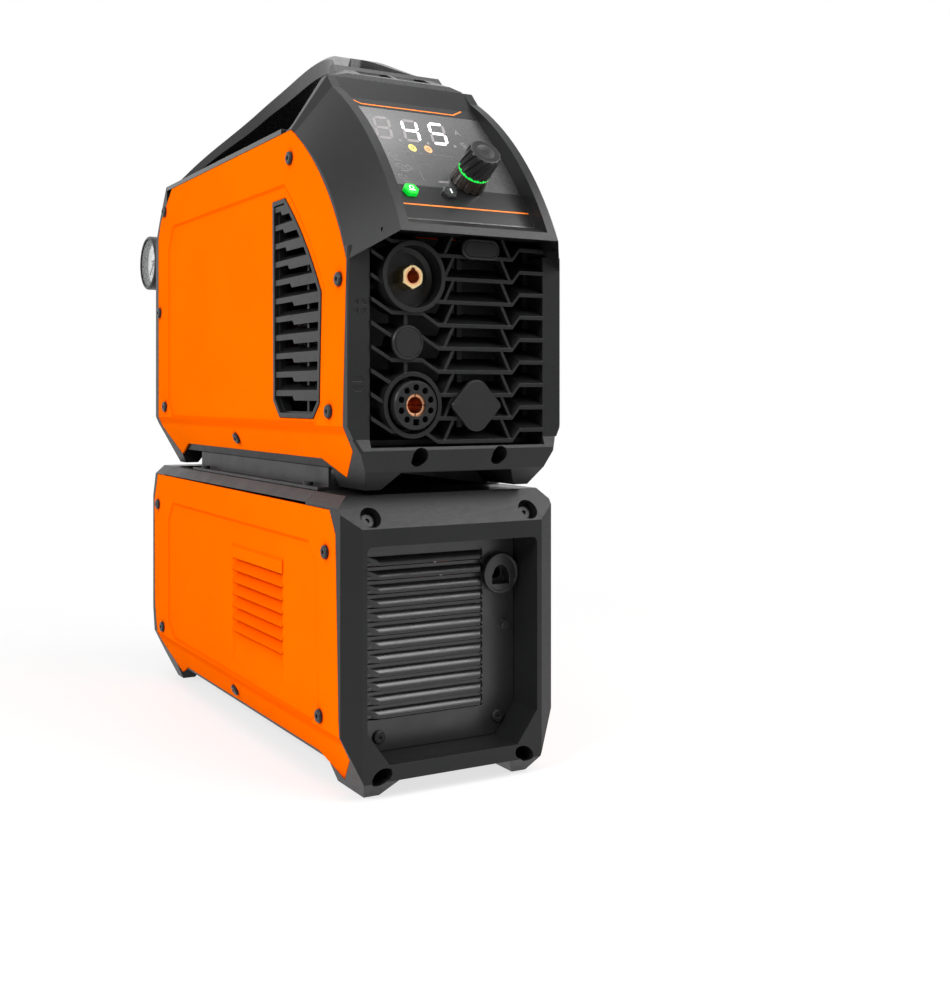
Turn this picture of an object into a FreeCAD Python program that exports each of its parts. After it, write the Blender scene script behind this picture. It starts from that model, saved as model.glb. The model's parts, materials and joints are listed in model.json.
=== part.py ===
"""Plasma cutting power source standing on its air compressor module.

Millimetres, +Z up, front towards -Y. Each module is drawn with its own feet at Z = 0 and with
Y = 0 on the compressor's front face; finish() moves every solid into the common frame, whose
origin lies on the floor under the middle of the whole unit.
"""
import os
import math
import FreeCAD
import Part

V = FreeCAD.Vector

# ---- overall -------------------------------------------------------------------------------------
side_x = 79.2            # outer face of the sheet metal side panels, from the middle
sheet = 1.6              # side panel sheet thickness
press_depth = 1.0        # depth of the pressed field in a side panel
foot_x = 61.0            # outer edge of the feet at floor level
lean_height = 40.0       # the sides lean inwards below this height
wall = 3.0               # moulded wall thickness
tray_z = 12.0            # underside of the base trays above the feet
past = 40.0              # how far cutting shapes run past the unit
box_top = 187.7          # top of the compressor module's cover
upper_base_z = box_top + 3.3    # feet of the power source above the floor
rear_face = 376.0        # rear face of the power source
lower_rear = rear_face + 8.0    # rear face of the compressor
seat = 0.3               # gap between separate mouldings that lie against each other
running_fit = 0.05       # radial clearance of shafts in their bores

# ---- power source: visor, display and window -----------------------------------------------------
crest_x = 57.3           # bezel crest from the middle
glass_x = 50.7           # half width of the display lens
crest_low = (-31.0, 157.0)    # visor profile as (Y, height)
crest_mid = (4.0, 213.0)
crest_top = (62.0, 264.0)
lip_top = (70.0, 273.4)
glass_low = (-16.0, 166.5)
glass_mid = (22.0, 217.7)
glass_top = (59.0, 257.4)
glass_end = 250.3        # upper edge of the lens; above it the bezel carries on
lens_thick = 2.5
window_x = 64.4          # half width of the grille window
window_low = 27.0
window_high = 159.5
column_y = -4.5          # front faces of the two columns
plus_at = (-71.2, 113.2)
minus_at = (-72.4, 66.2)
mark_r = 4.8
mark_bar = 2.4
mark_depth = 0.5
cowl_rear = 96.0         # rear end of the front cowl
cover_z = 236.8          # underside of the top cover
cover_thick = 3.4

# ---- power source: sockets and blanks ------------------------------------------------------------
socket_x = -35.3
earth_z = window_high - 27.0
torch_z = 53.0
barrel_r = 20.7          # torch barrel
earth_barrel_r = 22.3
barrel_end = 20.0        # rear ends of the barrels
barrel_wall = 2.8
grille_y = -6.0          # front edges of the grille slats
slat_depth = 20.0
slat_rise = 8.0
slat_thick = 2.4
slat_pitch = 14.62
slat_first = 28.7        # lowest slat height
slat_count = 9
hex_flats = 13.6         # earth contact across its flats
earth_front = -7.0       # front face of the earth contact
torch_front = -11.0      # front face of the torch connector
earth_bore_r = 4.3
torch_bore_r = 6.2
torch_body_r = 15.3
pin_hole_r = 2.1
pin_circle_r = 10.9
cap_r = 11.0
stud_r = 2.5             # snap studs of the blanking covers
cap_at = (-39.5, 91.5)
diamond_at = (10.3, 52.6)
diamond_half = (18.2, 16.4)
oval_at = (14.0, window_high - 7.5)
oval_half = (14.2, 6.7)

# ---- controls ------------------------------------------------------------------------------------
knob_r = 11.0
knob_skirt_r = 12.0
knob_cap_h = 16.0
knob_skirt_h = 9.0
knob_ring_h = 1.2
knob_flutes = 14
knob_twist = 34.0        # degrees that each grip groove winds round the cap
knob_at = (12.0, 196.0)  # X and height of the knob axis on the lens
knob_shaft_r = 3.0
button_half = (5.6, 4.4)
button_at = ((-35.0, 185.5), (-6.5, 186.0))
button_proud = 2.4

# ---- side panels ---------------------------------------------------------------------------------
upper_panel = [(rear_face - 45.0, 236.4), (80.4, 236.4), (25.5, 188.0, -2.0, 141.0), (2.6, 48.6),
               (3.0, 25.0),
               (27.0, 7.0), (53.0, 18.0), (rear_face - 58.0, 18.0), (rear_face - 31.0, 8.0),
               (rear_face - 8.0, 32.0), (rear_face - 7.4, 197.0), (rear_face - 14.6, 212.0)]
upper_field = [(rear_face - 48.1, 202.4), (92.0, 200.0), (57.2, 163.9, 30.1, 126.4), (33.0, 56.1),
               (43.4, 42.0), (rear_face - 48.1, 42.0), (rear_face - 37.1, 55.0), (rear_face - 37.1, 184.7)]
vent_outline = [(112.6, 192.4), (91.7, 192.4), (60.9, 161.2, 34.6, 124.5), (37.4, 53.8), (46.6, 44.2),
                (100.6, 44.2), (111.0, 55.4)]
vent_border = 3.0
vent_slats = 11
vent_pitch = 12.6
vent_first = 55.6        # lower edge of the lowest slat
vent_step_y = 78.0       # where the slats' lower edges step up
vent_step = 3.0
vent_slat_h = 6.8
upper_screws = [(81.2, 217.7), (rear_face - 26.0, 219.2), (rear_face - 11.8, 131.8),
                (rear_face - 27.4, 49.0),
                (192.5, 27.0), (21.4, 49.0), (7.4, 130.3)]
lower_panel = [(lower_rear - 14.0, box_top - 7.6), (21.4, box_top - 9.0), (12.9, box_top - 23.7),
               (8.8, 51.1),
               (6.0, 26.0), (31.0, 6.0), (57.0, 18.0), (lower_rear - 66.0, 18.0), (lower_rear - 39.0, 8.0),
               (lower_rear - 14.0, 32.0), (lower_rear - 5.2, 66.7), (lower_rear - 3.7, box_top - 31.5)]
lower_field = [(lower_rear - 56.1, box_top - 31.6), (54.1, box_top - 33.3), (41.9, box_top - 46.6),
               (38.9, 51.8),
               (49.0, 42.0), (lower_rear - 58.8, 43.5), (lower_rear - 45.1, 55.7),
               (lower_rear - 45.1, box_top - 45.5)]
lower_screws = [(lower_rear - 15.4, box_top - 34.2), (26.4, box_top - 35.8), (35.2, 47.0), (195.6, 27.0),
                (lower_rear - 28.4, 47.0)]
edge_slope = 2.2         # width of the slope round a pressed field
screw_head_r = 4.4
screw_head_h = 2.2
screw_shank_r = 2.0
louvre_rows = 7
louvre_y = (95.4, 180.8)
louvre_first = 128.6     # lower lip of the uppermost louvre
louvre_pitch = 9.1
louvre_rim = 139.3       # upper edge of the louvre field
louvre_end = 47.5        # lower end of the ramp under the last louvre
louvre_taper = 9.0       # slanted rear end of the field
louvre_depth = 2.3       # from the panel's face in to the root of a louvre
louvre_lip = 0.8         # from the panel's face out to its lip

# ---- compressor ----------------------------------------------------------------------------------
brow_z = box_top - 20.0  # lower edge of the slanted facet above the front recess
recess_x = 63.5
recess_z = (21.0, box_top - 31.0)
recess_depth = 30.0
plate_thick = 3.0
blade_count = 12
blade_pitch = 8.9
blade_x = (-50.0, 38.0)
blade_low = 43.0
blade_reach = 2.6        # how far the lips stand out of the plate
blade_lip = 5.4          # height of a lip
blade_gap = 1.1          # slot under each lip
outlet_at = (49.6, 130.4)
outlet_r = 13.6
outlet_proud = 6.0       # boss in front of the plate
outlet_socket_r = 7.4    # seat of the bushing behind the keyhole
outlet_hole_r = 4.5
outlet_seat_y = recess_depth - 1.0     # front end of the bushing's seat
lower_cowl_rear = 57.0   # rear end of the compressor's front moulding
brow_screw = (59.0, -2.0, box_top - 9.7)
brow_axis = (0.0, 1.0, -0.55)    # direction of the brow screws
brow_face = 7.3          # from that start to the slanted facet
brow_pocket_r = 7.0
brow_pocket_depth = 7.4  # from the slanted facet to the pocket's floor
plate_screws = ((-41.3, 30.6), (49.6, 33.4))
pad_r = 4.2              # rubber pads let into the feet
pad_h = 3.0
bracket_y = (56.0, 300.0)
bracket_screw_y = (78.0, 278.0)
bracket_screw_x = (67.4, 54.0)
motor_x = -6.0
motor_z = 86.0
shaft_r = 4.0
board_z = 44.0           # underside of the main inverter board
board_posts = ((-50.0, 92.0), (50.0, 92.0), (-50.0, 322.0), (50.0, 322.0))

# ---- rear: fan, switch, gland, filter regulator --------------------------------------------------
fan_at = (12.0, 84.0)
fan_half = 46.0
fan_r = 42.0
fan_hub_r = 17.0
fan_depth = 25.0
fan_blades = 7
fan_clear = 1.2
switch_at = (38.0, 178.0)
gland_at = (-46.0, 52.0)
gauge_at = (rear_face + 36.0, 181.0)
gauge_x = -76.0          # front of the gauge bezel, facing the left side
gauge_r = 24.5
gauge_dial_r = 20.5
regulator_x = -38.0
bowl_r = 17.0
inlet_z = 168.0          # air pipe through the rear cover into the regulator


# ---- drawing helpers -----------------------------------------------------------------------------
def outline(steps, place):
    """Closed wire; a two-number step is a corner, a four-number step an arc: a point on it, its end."""
    here = place(*steps[0])
    edges = []
    for step in steps[1:] + steps[:1]:
        end = place(*step[-2:])
        if len(step) == 4:
            edges.append(Part.Arc(here, place(*step[:2]), end).toShape())
        elif (end - here).Length > 1e-6:
            edges.append(Part.makeLine(here, end))
        here = end
    return Part.Wire(edges)


def prism_x(steps, x0, x1):
    """Solid from a (Y, Z) outline between two X planes."""
    return Part.Face(outline(steps, lambda y, z: V(x0, y, z))).extrude(V(x1 - x0, 0, 0))


def prism_y(steps, y0, y1, rise=0.0):
    """Solid from an (X, Z) outline between two Y planes, climbing by rise on the way back."""
    return Part.Face(outline(steps, lambda x, z: V(x, y0, z))).extrude(V(0, y1 - y0, rise))


def prism_z(steps, z0, z1):
    """Solid from an (X, Y) outline between two heights."""
    return Part.Face(outline(steps, lambda x, y: V(x, y, z0))).extrude(V(0, 0, z1 - z0))


def block(x, y, z):
    """Box from three (low, high) pairs."""
    return Part.makeBox(x[1] - x[0], y[1] - y[0], z[1] - z[0], V(x[0], y[0], z[0]))


def rod(radius, start, axis, length):
    """Cylinder from a start point along an axis."""
    return Part.makeCylinder(radius, length, V(*start), V(*axis))


def tube(outer, inner, start, axis, length):
    """Hollow cylinder."""
    return rod(outer, start, axis, length).cut(rod(inner, start, axis, length))


def mirrored(shape):
    """The same piece on the other side of the unit."""
    return shape.mirror(V(0, 0, 0), V(1, 0, 0))


def joined(first, others):
    """One solid from several overlapping ones."""
    return first.fuse(others).removeSplitter()


def polygon(count, radius, turn=0.0):
    """Corners of a regular polygon round the origin, turn in degrees."""
    corners = []
    for i in range(count):
        angle = math.radians(turn + 360.0 * i / count)
        corners.append((radius * math.cos(angle), radius * math.sin(angle)))
    return corners


def shifted(steps, at):
    """An outline moved to a place."""
    moved = []
    for step in steps:
        moved.append(tuple(n + at[i % 2] for i, n in enumerate(step)))
    return moved


def grown_x(steps, amount, x0, x1):
    """Like prism_x, with the (Y, Z) outline moved outwards, or inwards where amount is negative."""
    wire = outline(steps, lambda y, z: V(x0, y, z)).makeOffset2D(amount, 2)
    return Part.Face(wire).extrude(V(x1 - x0, 0, 0))


def lens_frame():
    """Point and outward direction of the display surface under the knob and the buttons."""
    run = V(0, glass_mid[0] - glass_low[0], glass_mid[1] - glass_low[1])
    run.normalize()
    return run, V(0, -run.z, run.y)


lens_up, lens_out = lens_frame()


def on_lens(x, z):
    """The point on the lower half of the lens surface at a height, slightly in front of the chord."""
    share = (z - glass_low[1]) / (glass_mid[1] - glass_low[1])
    y = glass_low[0] + share * (glass_mid[0] - glass_low[0])
    return V(x, y, z) + lens_out * (5.6 * share * (1.0 - share))


# ---- side sheets ---------------------------------------------------------------------------------
def folded(x_out, low, high, y0, y1):
    """Filled side slab: everything on the inner side of the leaning, folded side surface."""
    drop = (side_x - foot_x) / lean_height
    x_low = x_out - drop * (lean_height - low)
    steps = [(0.0, low), (x_low, low), (x_out, lean_height), (x_out, high), (0.0, high)]
    return prism_y(steps, y0, y1)


def side_sheet(steps, field, high):
    """Right-hand side panel: folded sheet, cut to its outline, with a field pressed inwards."""
    skin = folded(side_x, 0.0, high, -past, rear_face + past)
    skin = skin.cut(folded(side_x - sheet, 0.0, high, -past, rear_face + past))
    sheet_body = skin.common(prism_x(steps, 20.0, side_x + 1.0))
    floor = outline(field, lambda y, z: V(side_x - press_depth, y, z))
    rim = outline(field, lambda y, z: V(side_x, y, z)).makeOffset2D(edge_slope, 2)
    pocket = Part.makeLoft([floor, rim], True, True)
    pad = grown_x(field, 0.6, side_x - sheet - press_depth + 0.2, side_x - press_depth)
    return joined(sheet_body, [pad]).cut(pocket)


def screw(at):
    """Pan head screw in a side panel; on the leaning strip it stands at right angles to it."""
    y, z = at
    drop = (side_x - foot_x) / lean_height
    if z < lean_height:
        axis = V(1.0, 0.0, -drop)
        axis.normalize()
        base = V(side_x - drop * (lean_height - z), y, z)
    else:
        axis = V(1.0, 0.0, 0.0)
        base = V(side_x, y, z)
    seat_at = base + axis * 0.02
    head = Part.makeCylinder(screw_head_r, screw_head_h, seat_at, axis)
    head = head.makeFillet(1.2, [e for e in head.Edges if (e.CenterOfMass - seat_at).Length > 2.0
                                 and abs((e.CenterOfMass - seat_at).dot(axis) - screw_head_h) < 0.1])
    shank = Part.makeCylinder(screw_shank_r, 8.0, base - axis * 8.0, axis)
    socket = Part.makeCylinder(1.5, 1.4, base + axis * (screw_head_h - 1.4 + 0.02), axis)
    return joined(head, [shank]).cut(socket)


def screw_holes(places, radius):
    """Clearance holes for the side screws, right-hand side."""
    holes = []
    for y, z in places:
        drop = (side_x - foot_x) / lean_height
        lean = drop if z < lean_height else 0.0
        axis = V(1.0, 0.0, -lean)
        axis.normalize()
        base = V(side_x - lean * (lean_height - z), y, z)
        holes.append(Part.makeCylinder(radius, 16.0, base - axis * 12.0, axis))
    return holes


def both_ways(shapes):
    """The given shapes together with their mirror images."""
    return shapes + [mirrored(s) for s in shapes]


def both_sides(places):
    """Screws of the right and left panels as one group."""
    return Part.makeCompound(both_ways([screw(at) for at in places]))


# ---- power source mouldings ----------------------------------------------------------------------
def hull(high, y0, y1, x_out=side_x):
    """Everything between the two leaning, folded side surfaces."""
    right = folded(x_out, 0.0, high, y0, y1)
    return right.fuse(mirrored(right)).removeSplitter()


def panel_seat(steps, high):
    """Room for both side panels: the panel outlines with clearance, outside the inner sheet face."""
    inner = hull(high, -past, rear_face + past, side_x - sheet - seat)
    outer = grown_x(steps, 0.4, -side_x - 2.0, side_x + 2.0)
    return outer.cut(inner)


def feet_gap(high):
    """Open space between the left and right feet, with splayed sides."""
    return prism_y([(-50.9, -1.0), (-41.0, high), (41.0, high), (50.9, -1.0)], -past, rear_face + past)


def teardrop(x, z, y0, y1):
    """Drop-shaped hole in the bar under the grille."""
    steps = [(-5.4, 1.6), (-1.0, 5.4, 5.2, 1.8), (5.2, -2.0, 2.6, -4.6), (-2.4, -6.2, -6.0, -3.4)]
    return prism_y(shifted(steps, (x, z)), y0, y1)


def lens_strip(depth, half_x, extra=0.0):
    """Slab of even thickness behind the curved display surface."""
    back = -lens_out * depth
    low = (glass_low[0] - lens_up.y * extra, glass_low[1] - lens_up.z * extra)
    top = (glass_top[0] + lens_up.y * extra, glass_top[1] + lens_up.z * extra)
    steps = [low, glass_mid + top, (top[0] + back.y, top[1] + back.z),
             (glass_mid[0] + back.y, glass_mid[1] + back.z, low[0] + back.y, low[1] + back.z)]
    return prism_x(steps, -half_x, half_x)


def below_glass_end(shape, extra):
    """The part of a shape below the lens' upper edge."""
    return shape.common(block((-90.0, 90.0), (-60.0, 120.0), (100.0, glass_end + extra)))


def polarity_mark(at, bars):
    """Shallow round recess in a column, with bars left standing in it."""
    x, z = at
    disc = rod(mark_r, (x, column_y - 1.0, z), (0, 1, 0), 1.0 + mark_depth)
    return disc.cut([block((x - w, x + w), (column_y - 2.0, column_y + 2.0), (z - h, z + h)) for w,
                     h in bars])


def front_cowl():
    """Visor with bezel and brow, two columns, lower bar and front feet, moulded in one piece."""
    middle = [crest_low, crest_mid + crest_top, lip_top, (78.0, 273.4), (cowl_rear, cover_z),
              (cowl_rear, 150.0), (-8.0, 160.0)]
    edge = [(-3.4, 141.0), (22.0, 188.0, 75.5, 232.8), (79.6, cover_z - 0.1), (84.0, cover_z - 0.1),
            (cowl_rear, cover_z - 0.1), (cowl_rear, 140.0), (5.0, 140.0)]
    visor = prism_x(middle, -crest_x, crest_x)
    flank = Part.makeLoft([outline(middle, lambda y, z: V(crest_x, y, z)),
                           outline(edge, lambda y, z: V(side_x, y, z))], True, True)
    plan = [(-78.2, column_y), (78.2, column_y), (side_x, column_y + 1.0), (side_x, cowl_rear),
            (-side_x, cowl_rear), (-side_x, column_y + 1.0)]
    profile = [(column_y, 150.0), (column_y, 32.0), (-7.5, 25.0), (-3.0, 12.0), (8.0, 0.0),
               (44.0, 0.0), (44.0, 12.0), (47.0, 52.0), (cowl_rear, 90.0), (cowl_rear, 150.0)]
    lip_plan = [(-70.0, -8.0), (70.0, -8.0), (side_x, 0.0), (side_x, cowl_rear),
                (-side_x, cowl_rear), (-side_x, 0.0)]
    frame = prism_z(plan, 32.0, 150.0).fuse(prism_z(lip_plan, 0.0, 32.0))
    frame = frame.common(prism_x(profile, -side_x, side_x)).common(hull(150.0, -20.0, cowl_rear))
    body = visor.fuse([flank, mirrored(flank), frame])
    recess = prism_x([glass_low, glass_mid + glass_top, lip_top, (60.0, 300.0), (-60.0, 300.0),
                      (-60.0, 162.5), (-27.5, 162.5)], -glass_x, glass_x)
    hollow_mid = prism_x([(-9.0, 160.0), (29.0, 212.5, 64.5, 251.0), (74.0, 264.0), (88.0, 236.0),
                          (cowl_rear + 1.0, 232.0), (cowl_rear + 1.0, 145.0), (-5.0, 161.5)],
                         -46.0, 46.0)
    hollow = prism_x([(14.0, 144.0), (37.0, 183.0, 84.0, 226.0), (cowl_rear + 1.0, 230.0),
                      (cowl_rear + 1.0, -5.0), (44.5, -5.0), (44.5, 17.0), (18.0, 17.0)],
                     -side_x + sheet + seat + wall, side_x - sheet - seat - wall)
    hollow = hollow.common(hull(240.0, 0.0, 120.0, side_x - sheet - seat - wall))
    window = block((-window_x, window_x), (-20.0, barrel_end + 1.0), (window_low, window_high))
    display_window = lens_strip(12.0, 44.0, -6.0)
    cuts = [recess, hollow_mid, hollow, window, display_window, feet_gap(11.0),
            below_glass_end(lens_strip(lens_thick + 0.2, glass_x), 0.2), panel_seat(upper_panel, 240.0)]
    cuts += [teardrop(x, 21.0, -12.0, 12.0) for x in (-29.5, 29.5)]
    cuts += both_ways(screw_holes(upper_screws, screw_shank_r + running_fit))
    cuts += both_ways([grown_x(upper_field, 1.0, side_x - sheet - press_depth - seat, side_x),
                       grown_x(vent_outline, 2.6, 55.0, side_x)])
    flat, upright = (mark_r + 1.0, mark_bar / 2.0), (mark_bar / 2.0, mark_r + 1.0)
    cuts += [polarity_mark(plus_at, [flat, upright]), polarity_mark(minus_at, [flat])]
    return body.cut(cuts).removeSplitter()


def slat_band(z):
    """Stepped front edge of one grille slat as an (X, Z) outline, lower line at height z."""
    run = [(-64.0, z + 15.0), (-50.0, z + 7.0), (-28.0, z + 7.0), (-16.5, z), (39.4, z),
           (45.0, z + 6.6), (64.0, z + 6.6)]
    upper = [(x, h + slat_thick) for x, h in reversed(run)]
    return run + upper


def front_grille():
    """Louvre grille: stepped slats climbing backwards, slanted ribs, socket barrels and a rear frame."""
    slats = []
    ribs = []
    for i in range(slat_count):
        z = slat_first + i * slat_pitch
        slats.append(prism_y(slat_band(z), grille_y, grille_y + slat_depth, slat_rise))
        top = z + slat_pitch + 0.6
        for foot, head in ((-13.5, -6.0), (37.5, 30.0)):
            rib = [(foot, z + 0.6), (foot + 2.2, z + 0.6), (head + 2.2, top), (head, top)]
            ribs.append(prism_y(rib, grille_y + 0.6, grille_y + 12.0, 4.0))
    bounds = block((-window_x + seat, window_x - seat), (grille_y, grille_y + slat_depth + 1.0),
                   (window_low + seat, window_high - seat))
    frame_y = (grille_y + slat_depth - 2.0, grille_y + slat_depth + 1.0)
    frame = block((-window_x + seat, window_x - seat), frame_y, (window_low + seat, window_high - seat))
    frame = frame.cut(block((-60.5, 60.5), (0.0, 30.0), (31.0, 155.0)))
    centres = [(socket_x, earth_z), (socket_x, torch_z)]
    barrels = []
    cores = []
    for (x, z), radius, front in zip(centres, (earth_barrel_r, barrel_r), (-9.0, -7.0)):
        barrels.append(rod(radius, (x, front, z), (0, 1, 0), barrel_end - front))
        cores.append(rod(radius - barrel_wall, (x, front - 1.0, z), (0, 1, 0), 9.0 - front))
        cores.append(rod(torch_body_r + seat, (x, 0.0, z), (0, 1, 0), 30.0))
    stays = [block((-40.7, -38.3), (grille_y + 1.0, frame_y[1]), (torch_z + 18.0, earth_z - 19.0)),
             block((-6.0, 30.0), frame_y, (window_low + 1.0, window_low + 5.0))]
    posts = [rod(6.0, (x, grille_y + 0.5, z), (0, 1, 0), frame_y[1] - grille_y - 0.5)
             for x, z in (cap_at, diamond_at, oval_at)]
    post_bars = [block((diamond_at[0] - 2.0, diamond_at[0] + 2.0), frame_y, (window_low + 1.0, 149.0))]
    body = slats[0].fuse(slats[1:] + ribs + stays + posts + post_bars + [frame]).common(bounds)
    holes = [rod(stud_r, (x, grille_y - 1.0, z), (0, 1, 0), 14.0) for x, z in (cap_at, diamond_at, oval_at)]
    return body.fuse(barrels).cut(cores + holes)


def blank(steps, at, reach, groove):
    """Blanking cover: crowned plate, grooved round its edge, with a stud that snaps into the grille."""
    x, z = at
    front = grille_y - reach
    wire = outline(shifted(steps, at), lambda a, b: V(a, front, b))
    plate = Part.Face(wire).extrude(V(0, reach - seat, 0))
    rim = [e for e in plate.Edges if abs(e.BoundBox.YMax - front) < 0.01]
    plate = plate.makeChamfer(0.8, rim)
    stud = rod(stud_r - running_fit, (x, grille_y - 0.6, z), (0, 1, 0), 9.6)
    plate = joined(plate, [stud])
    if groove:
        ring = [Part.Face(wire.makeOffset2D(-inset, 2)).extrude(V(0, 0.5, 0)) for inset in (1.6, 2.2)]
        plate = plate.cut(ring[0].cut(ring[1]))
    return plate


def blanking_covers():
    """Round, diamond and oval covers over the unused connector places."""
    half_x, half_z = diamond_half
    diamond = [(-half_x + 1.4, -2.6), (-half_x, 0.0, -half_x + 1.4, 2.6), (-6.6, half_z - 2.6),
               (0.0, half_z, 6.6, half_z - 2.6), (half_x - 1.4, 2.6), (half_x, 0.0, half_x - 1.4, -2.6),
               (6.6, -half_z + 2.6), (0.0, -half_z, -6.6, -half_z + 2.6)]
    width, height = oval_half
    oval = [(-width + height, -height), (width - height, -height), (width, 0.0, width - height, height),
            (-width + height, height), (-width, 0.0, -width + height, -height)]
    disc = [(-cap_r, 0.0), (0.0, cap_r, cap_r, 0.0), (0.0, -cap_r, -cap_r, 0.0)]
    return blank(disc, cap_at, 2.6, True), blank(diamond, diamond_at, 3.4, False), blank(oval, oval_at, 2.6,
                                                                                         True)


# ---- power source: sockets -----------------------------------------------------------------------
def revolved(profile, at, low_y=0.0):
    """Solid of revolution about an axis along Y; the profile lists (radius, Y)."""
    x, z = at
    wire = outline(profile, lambda r, y: V(x + r, y + low_y, z))
    return Part.Face(wire).revolve(V(x, 0, z), V(0, 1, 0), 360)


def earth_socket_sleeve():
    """Insulating sleeve that fills the upper barrel and holds the hexagonal earth contact."""
    inner = earth_barrel_r - barrel_wall - seat
    body = revolved([(0.0, 4.5), (inner - 3.0, 4.5), (inner, 2.5), (inner, 8.0 - seat),
                     (torch_body_r, 8.0 - seat), (torch_body_r, 20.0), (0.0, 20.0)], (socket_x, earth_z))
    hexagon = shifted(polygon(6, hex_flats / math.sqrt(3.0) + running_fit, 30.0), (socket_x, earth_z))
    return body.cut(prism_y(hexagon, -5.0, 25.0))


def earth_socket_contact():
    """Brass hexagon with the bayonet bore and its keyway."""
    hexagon = shifted(polygon(6, hex_flats / math.sqrt(3.0), 30.0), (socket_x, earth_z))
    body = prism_y(hexagon, earth_front, 34.0)
    body = body.common(revolved([(0.0, earth_front), (6.9, earth_front), (8.0, earth_front + 0.9),
                                 (8.0, 34.0),
                                 (0.0, 34.0)], (socket_x, earth_z)))
    stud = rod(4.6, (socket_x, 34.0, earth_z), (0, 1, 0), 12.0)
    bore = rod(earth_bore_r, (socket_x, earth_front, earth_z), (0, 1, 0), 24.0 - earth_front)
    key = rod(1.5, (socket_x, earth_front, earth_z + earth_bore_r), (0, 1, 0), 24.0 - earth_front)
    return joined(body, [stud]).cut([bore, key])


def torch_socket_body():
    """Moulded torch connector: collar, pilot pin holes on a circle, key slot and centre bore."""
    inner = barrel_r - barrel_wall - seat
    body = revolved([(0.0, torch_front), (torch_body_r - 1.0, torch_front),
                     (torch_body_r, torch_front + 1.0),
                     (torch_body_r, 6.0),
                     (inner, 6.0), (inner, 8.0 - seat), (torch_body_r, 8.0 - seat),
                     (torch_body_r, 20.0), (0.0, 20.0)], (socket_x, torch_z))
    holes = []
    for i in range(1, 10):
        angle = math.radians(-90.0 + 36.0 * i)
        at = (socket_x + pin_circle_r * math.cos(angle), torch_front,
              torch_z + pin_circle_r * math.sin(angle))
        holes.append(rod(pin_hole_r, at, (0, 1, 0), 14.0))
    holes.append(block((socket_x - 2.2, socket_x + 2.2), (torch_front, 10.0),
                       (torch_z - 12.6, torch_z - 8.6)))
    holes.append(rod(torch_bore_r + 0.9, (socket_x, torch_front, torch_z), (0, 1, 0), 21.0 - torch_front))
    return body.cut(holes)


def torch_socket_contact():
    """Copper centre contact, slit crosswise so that it springs onto the plug's tube."""
    outer = torch_bore_r + 0.85
    low = torch_front + 1.6
    body = tube(outer, torch_bore_r - 0.9, (socket_x, low, torch_z), (0, 1, 0), 26.0 - low)
    end = rod(outer, (socket_x, 26.0, torch_z), (0, 1, 0), 3.0)
    tail = rod(4.0, (socket_x, 29.0, torch_z), (0, 1, 0), 14.0)
    slits = [block((socket_x - 9.0, socket_x + 9.0), (torch_front, 12.0), (torch_z - 0.35, torch_z + 0.35)),
             block((socket_x - 0.35, socket_x + 0.35), (torch_front, 12.0), (torch_z - 9.0, torch_z + 9.0))]
    return joined(body, [end, tail]).cut(slits)


# ---- power source: display and controls ----------------------------------------------------------
def placed_on_lens(shape, x, z, lift=0.0):
    """Move a piece drawn at the origin along +Z onto the lens, standing at right angles to it."""
    turn = FreeCAD.Rotation(V(0, 0, 1), lens_out)
    moved = shape.copy()
    moved.Placement = FreeCAD.Placement(on_lens(x, z) + lens_out * lift, turn)
    return moved


def knob_pieces():
    """Fluted skirt with the shaft, light ring and cap with helical grips, all on one axis."""
    skirt = Part.makeCone(knob_skirt_r, knob_r + 0.2, knob_skirt_h)
    ring = rod(knob_r - 0.2, (0, 0, knob_skirt_h), (0, 0, 1), knob_ring_h)
    low = knob_skirt_h + knob_ring_h
    cap = rod(knob_r, (0, 0, low), (0, 0, 1), knob_cap_h)
    cap = cap.makeFillet(1.6, [e for e in cap.Edges if e.BoundBox.ZMin > low + 1.0])
    grooves = []
    notches = []
    lower = polygon(knob_flutes, knob_r + 0.7)
    upper = polygon(knob_flutes, knob_r + 0.7, knob_twist)
    for (x0, y0), (x1, y1) in zip(lower, upper):
        run = V(x1 - x0, y1 - y0, knob_cap_h + 2.0)
        grooves.append(Part.makeCylinder(1.5, run.Length, V(x0, y0, low - 1.0), run))
        notches.append(rod(1.1, (x0 * 1.045, y0 * 1.045, -1.0), (0, 0, 1), knob_skirt_h))
    dish = Part.makeSphere(24.0, V(0, 0, low + knob_cap_h + 23.2))
    skirt = skirt.cut(notches).cut(rod(7.0, (0, 0, -1.0), (0, 0, 1), 5.0))
    cap = cap.cut(grooves + [dish])
    shaft = rod(knob_shaft_r, (0, 0, -9.0), (0, 0, 1), 14.0)
    skirt = joined(skirt, [shaft])
    lift = seat
    return [placed_on_lens(s, knob_at[0], knob_at[1], lift) for s in (skirt, ring, cap)]


def button_shape(grow=0.0):
    """Six-sided push button head, rounded at the front edge."""
    w, h = button_half[0] + grow, button_half[1] + grow
    steps = [(-w, 0.0), (-w + 2.6, -h), (w - 2.6, -h), (w, 0.0), (w - 2.6, h), (-w + 2.6, h)]
    return prism_z(steps, -lens_thick - 3.0, button_proud)


def push_button(at):
    """One push button with its plunger, resting at full height."""
    head = button_shape()
    head = head.makeChamfer(0.7, [e for e in head.Edges if e.BoundBox.ZMin > button_proud - 0.1])
    plunger = rod(1.6, (0, 0, -lens_thick - 4.5), (0, 0, 1), 3.0)
    return placed_on_lens(joined(head, [plunger]), at[0], at[1])


def display_lens():
    """Smoked display window with clearance holes for the knob shaft and the buttons."""
    lens = below_glass_end(lens_strip(lens_thick, glass_x - 0.2, -0.2), 0.0)
    cuts = [placed_on_lens(button_shape(0.35), *at) for at in button_at]
    cuts.append(placed_on_lens(rod(knob_shaft_r + 0.3, (0, 0, -8.0), (0, 0, 1), 16.0), *knob_at))
    return lens.cut(cuts)


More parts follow.
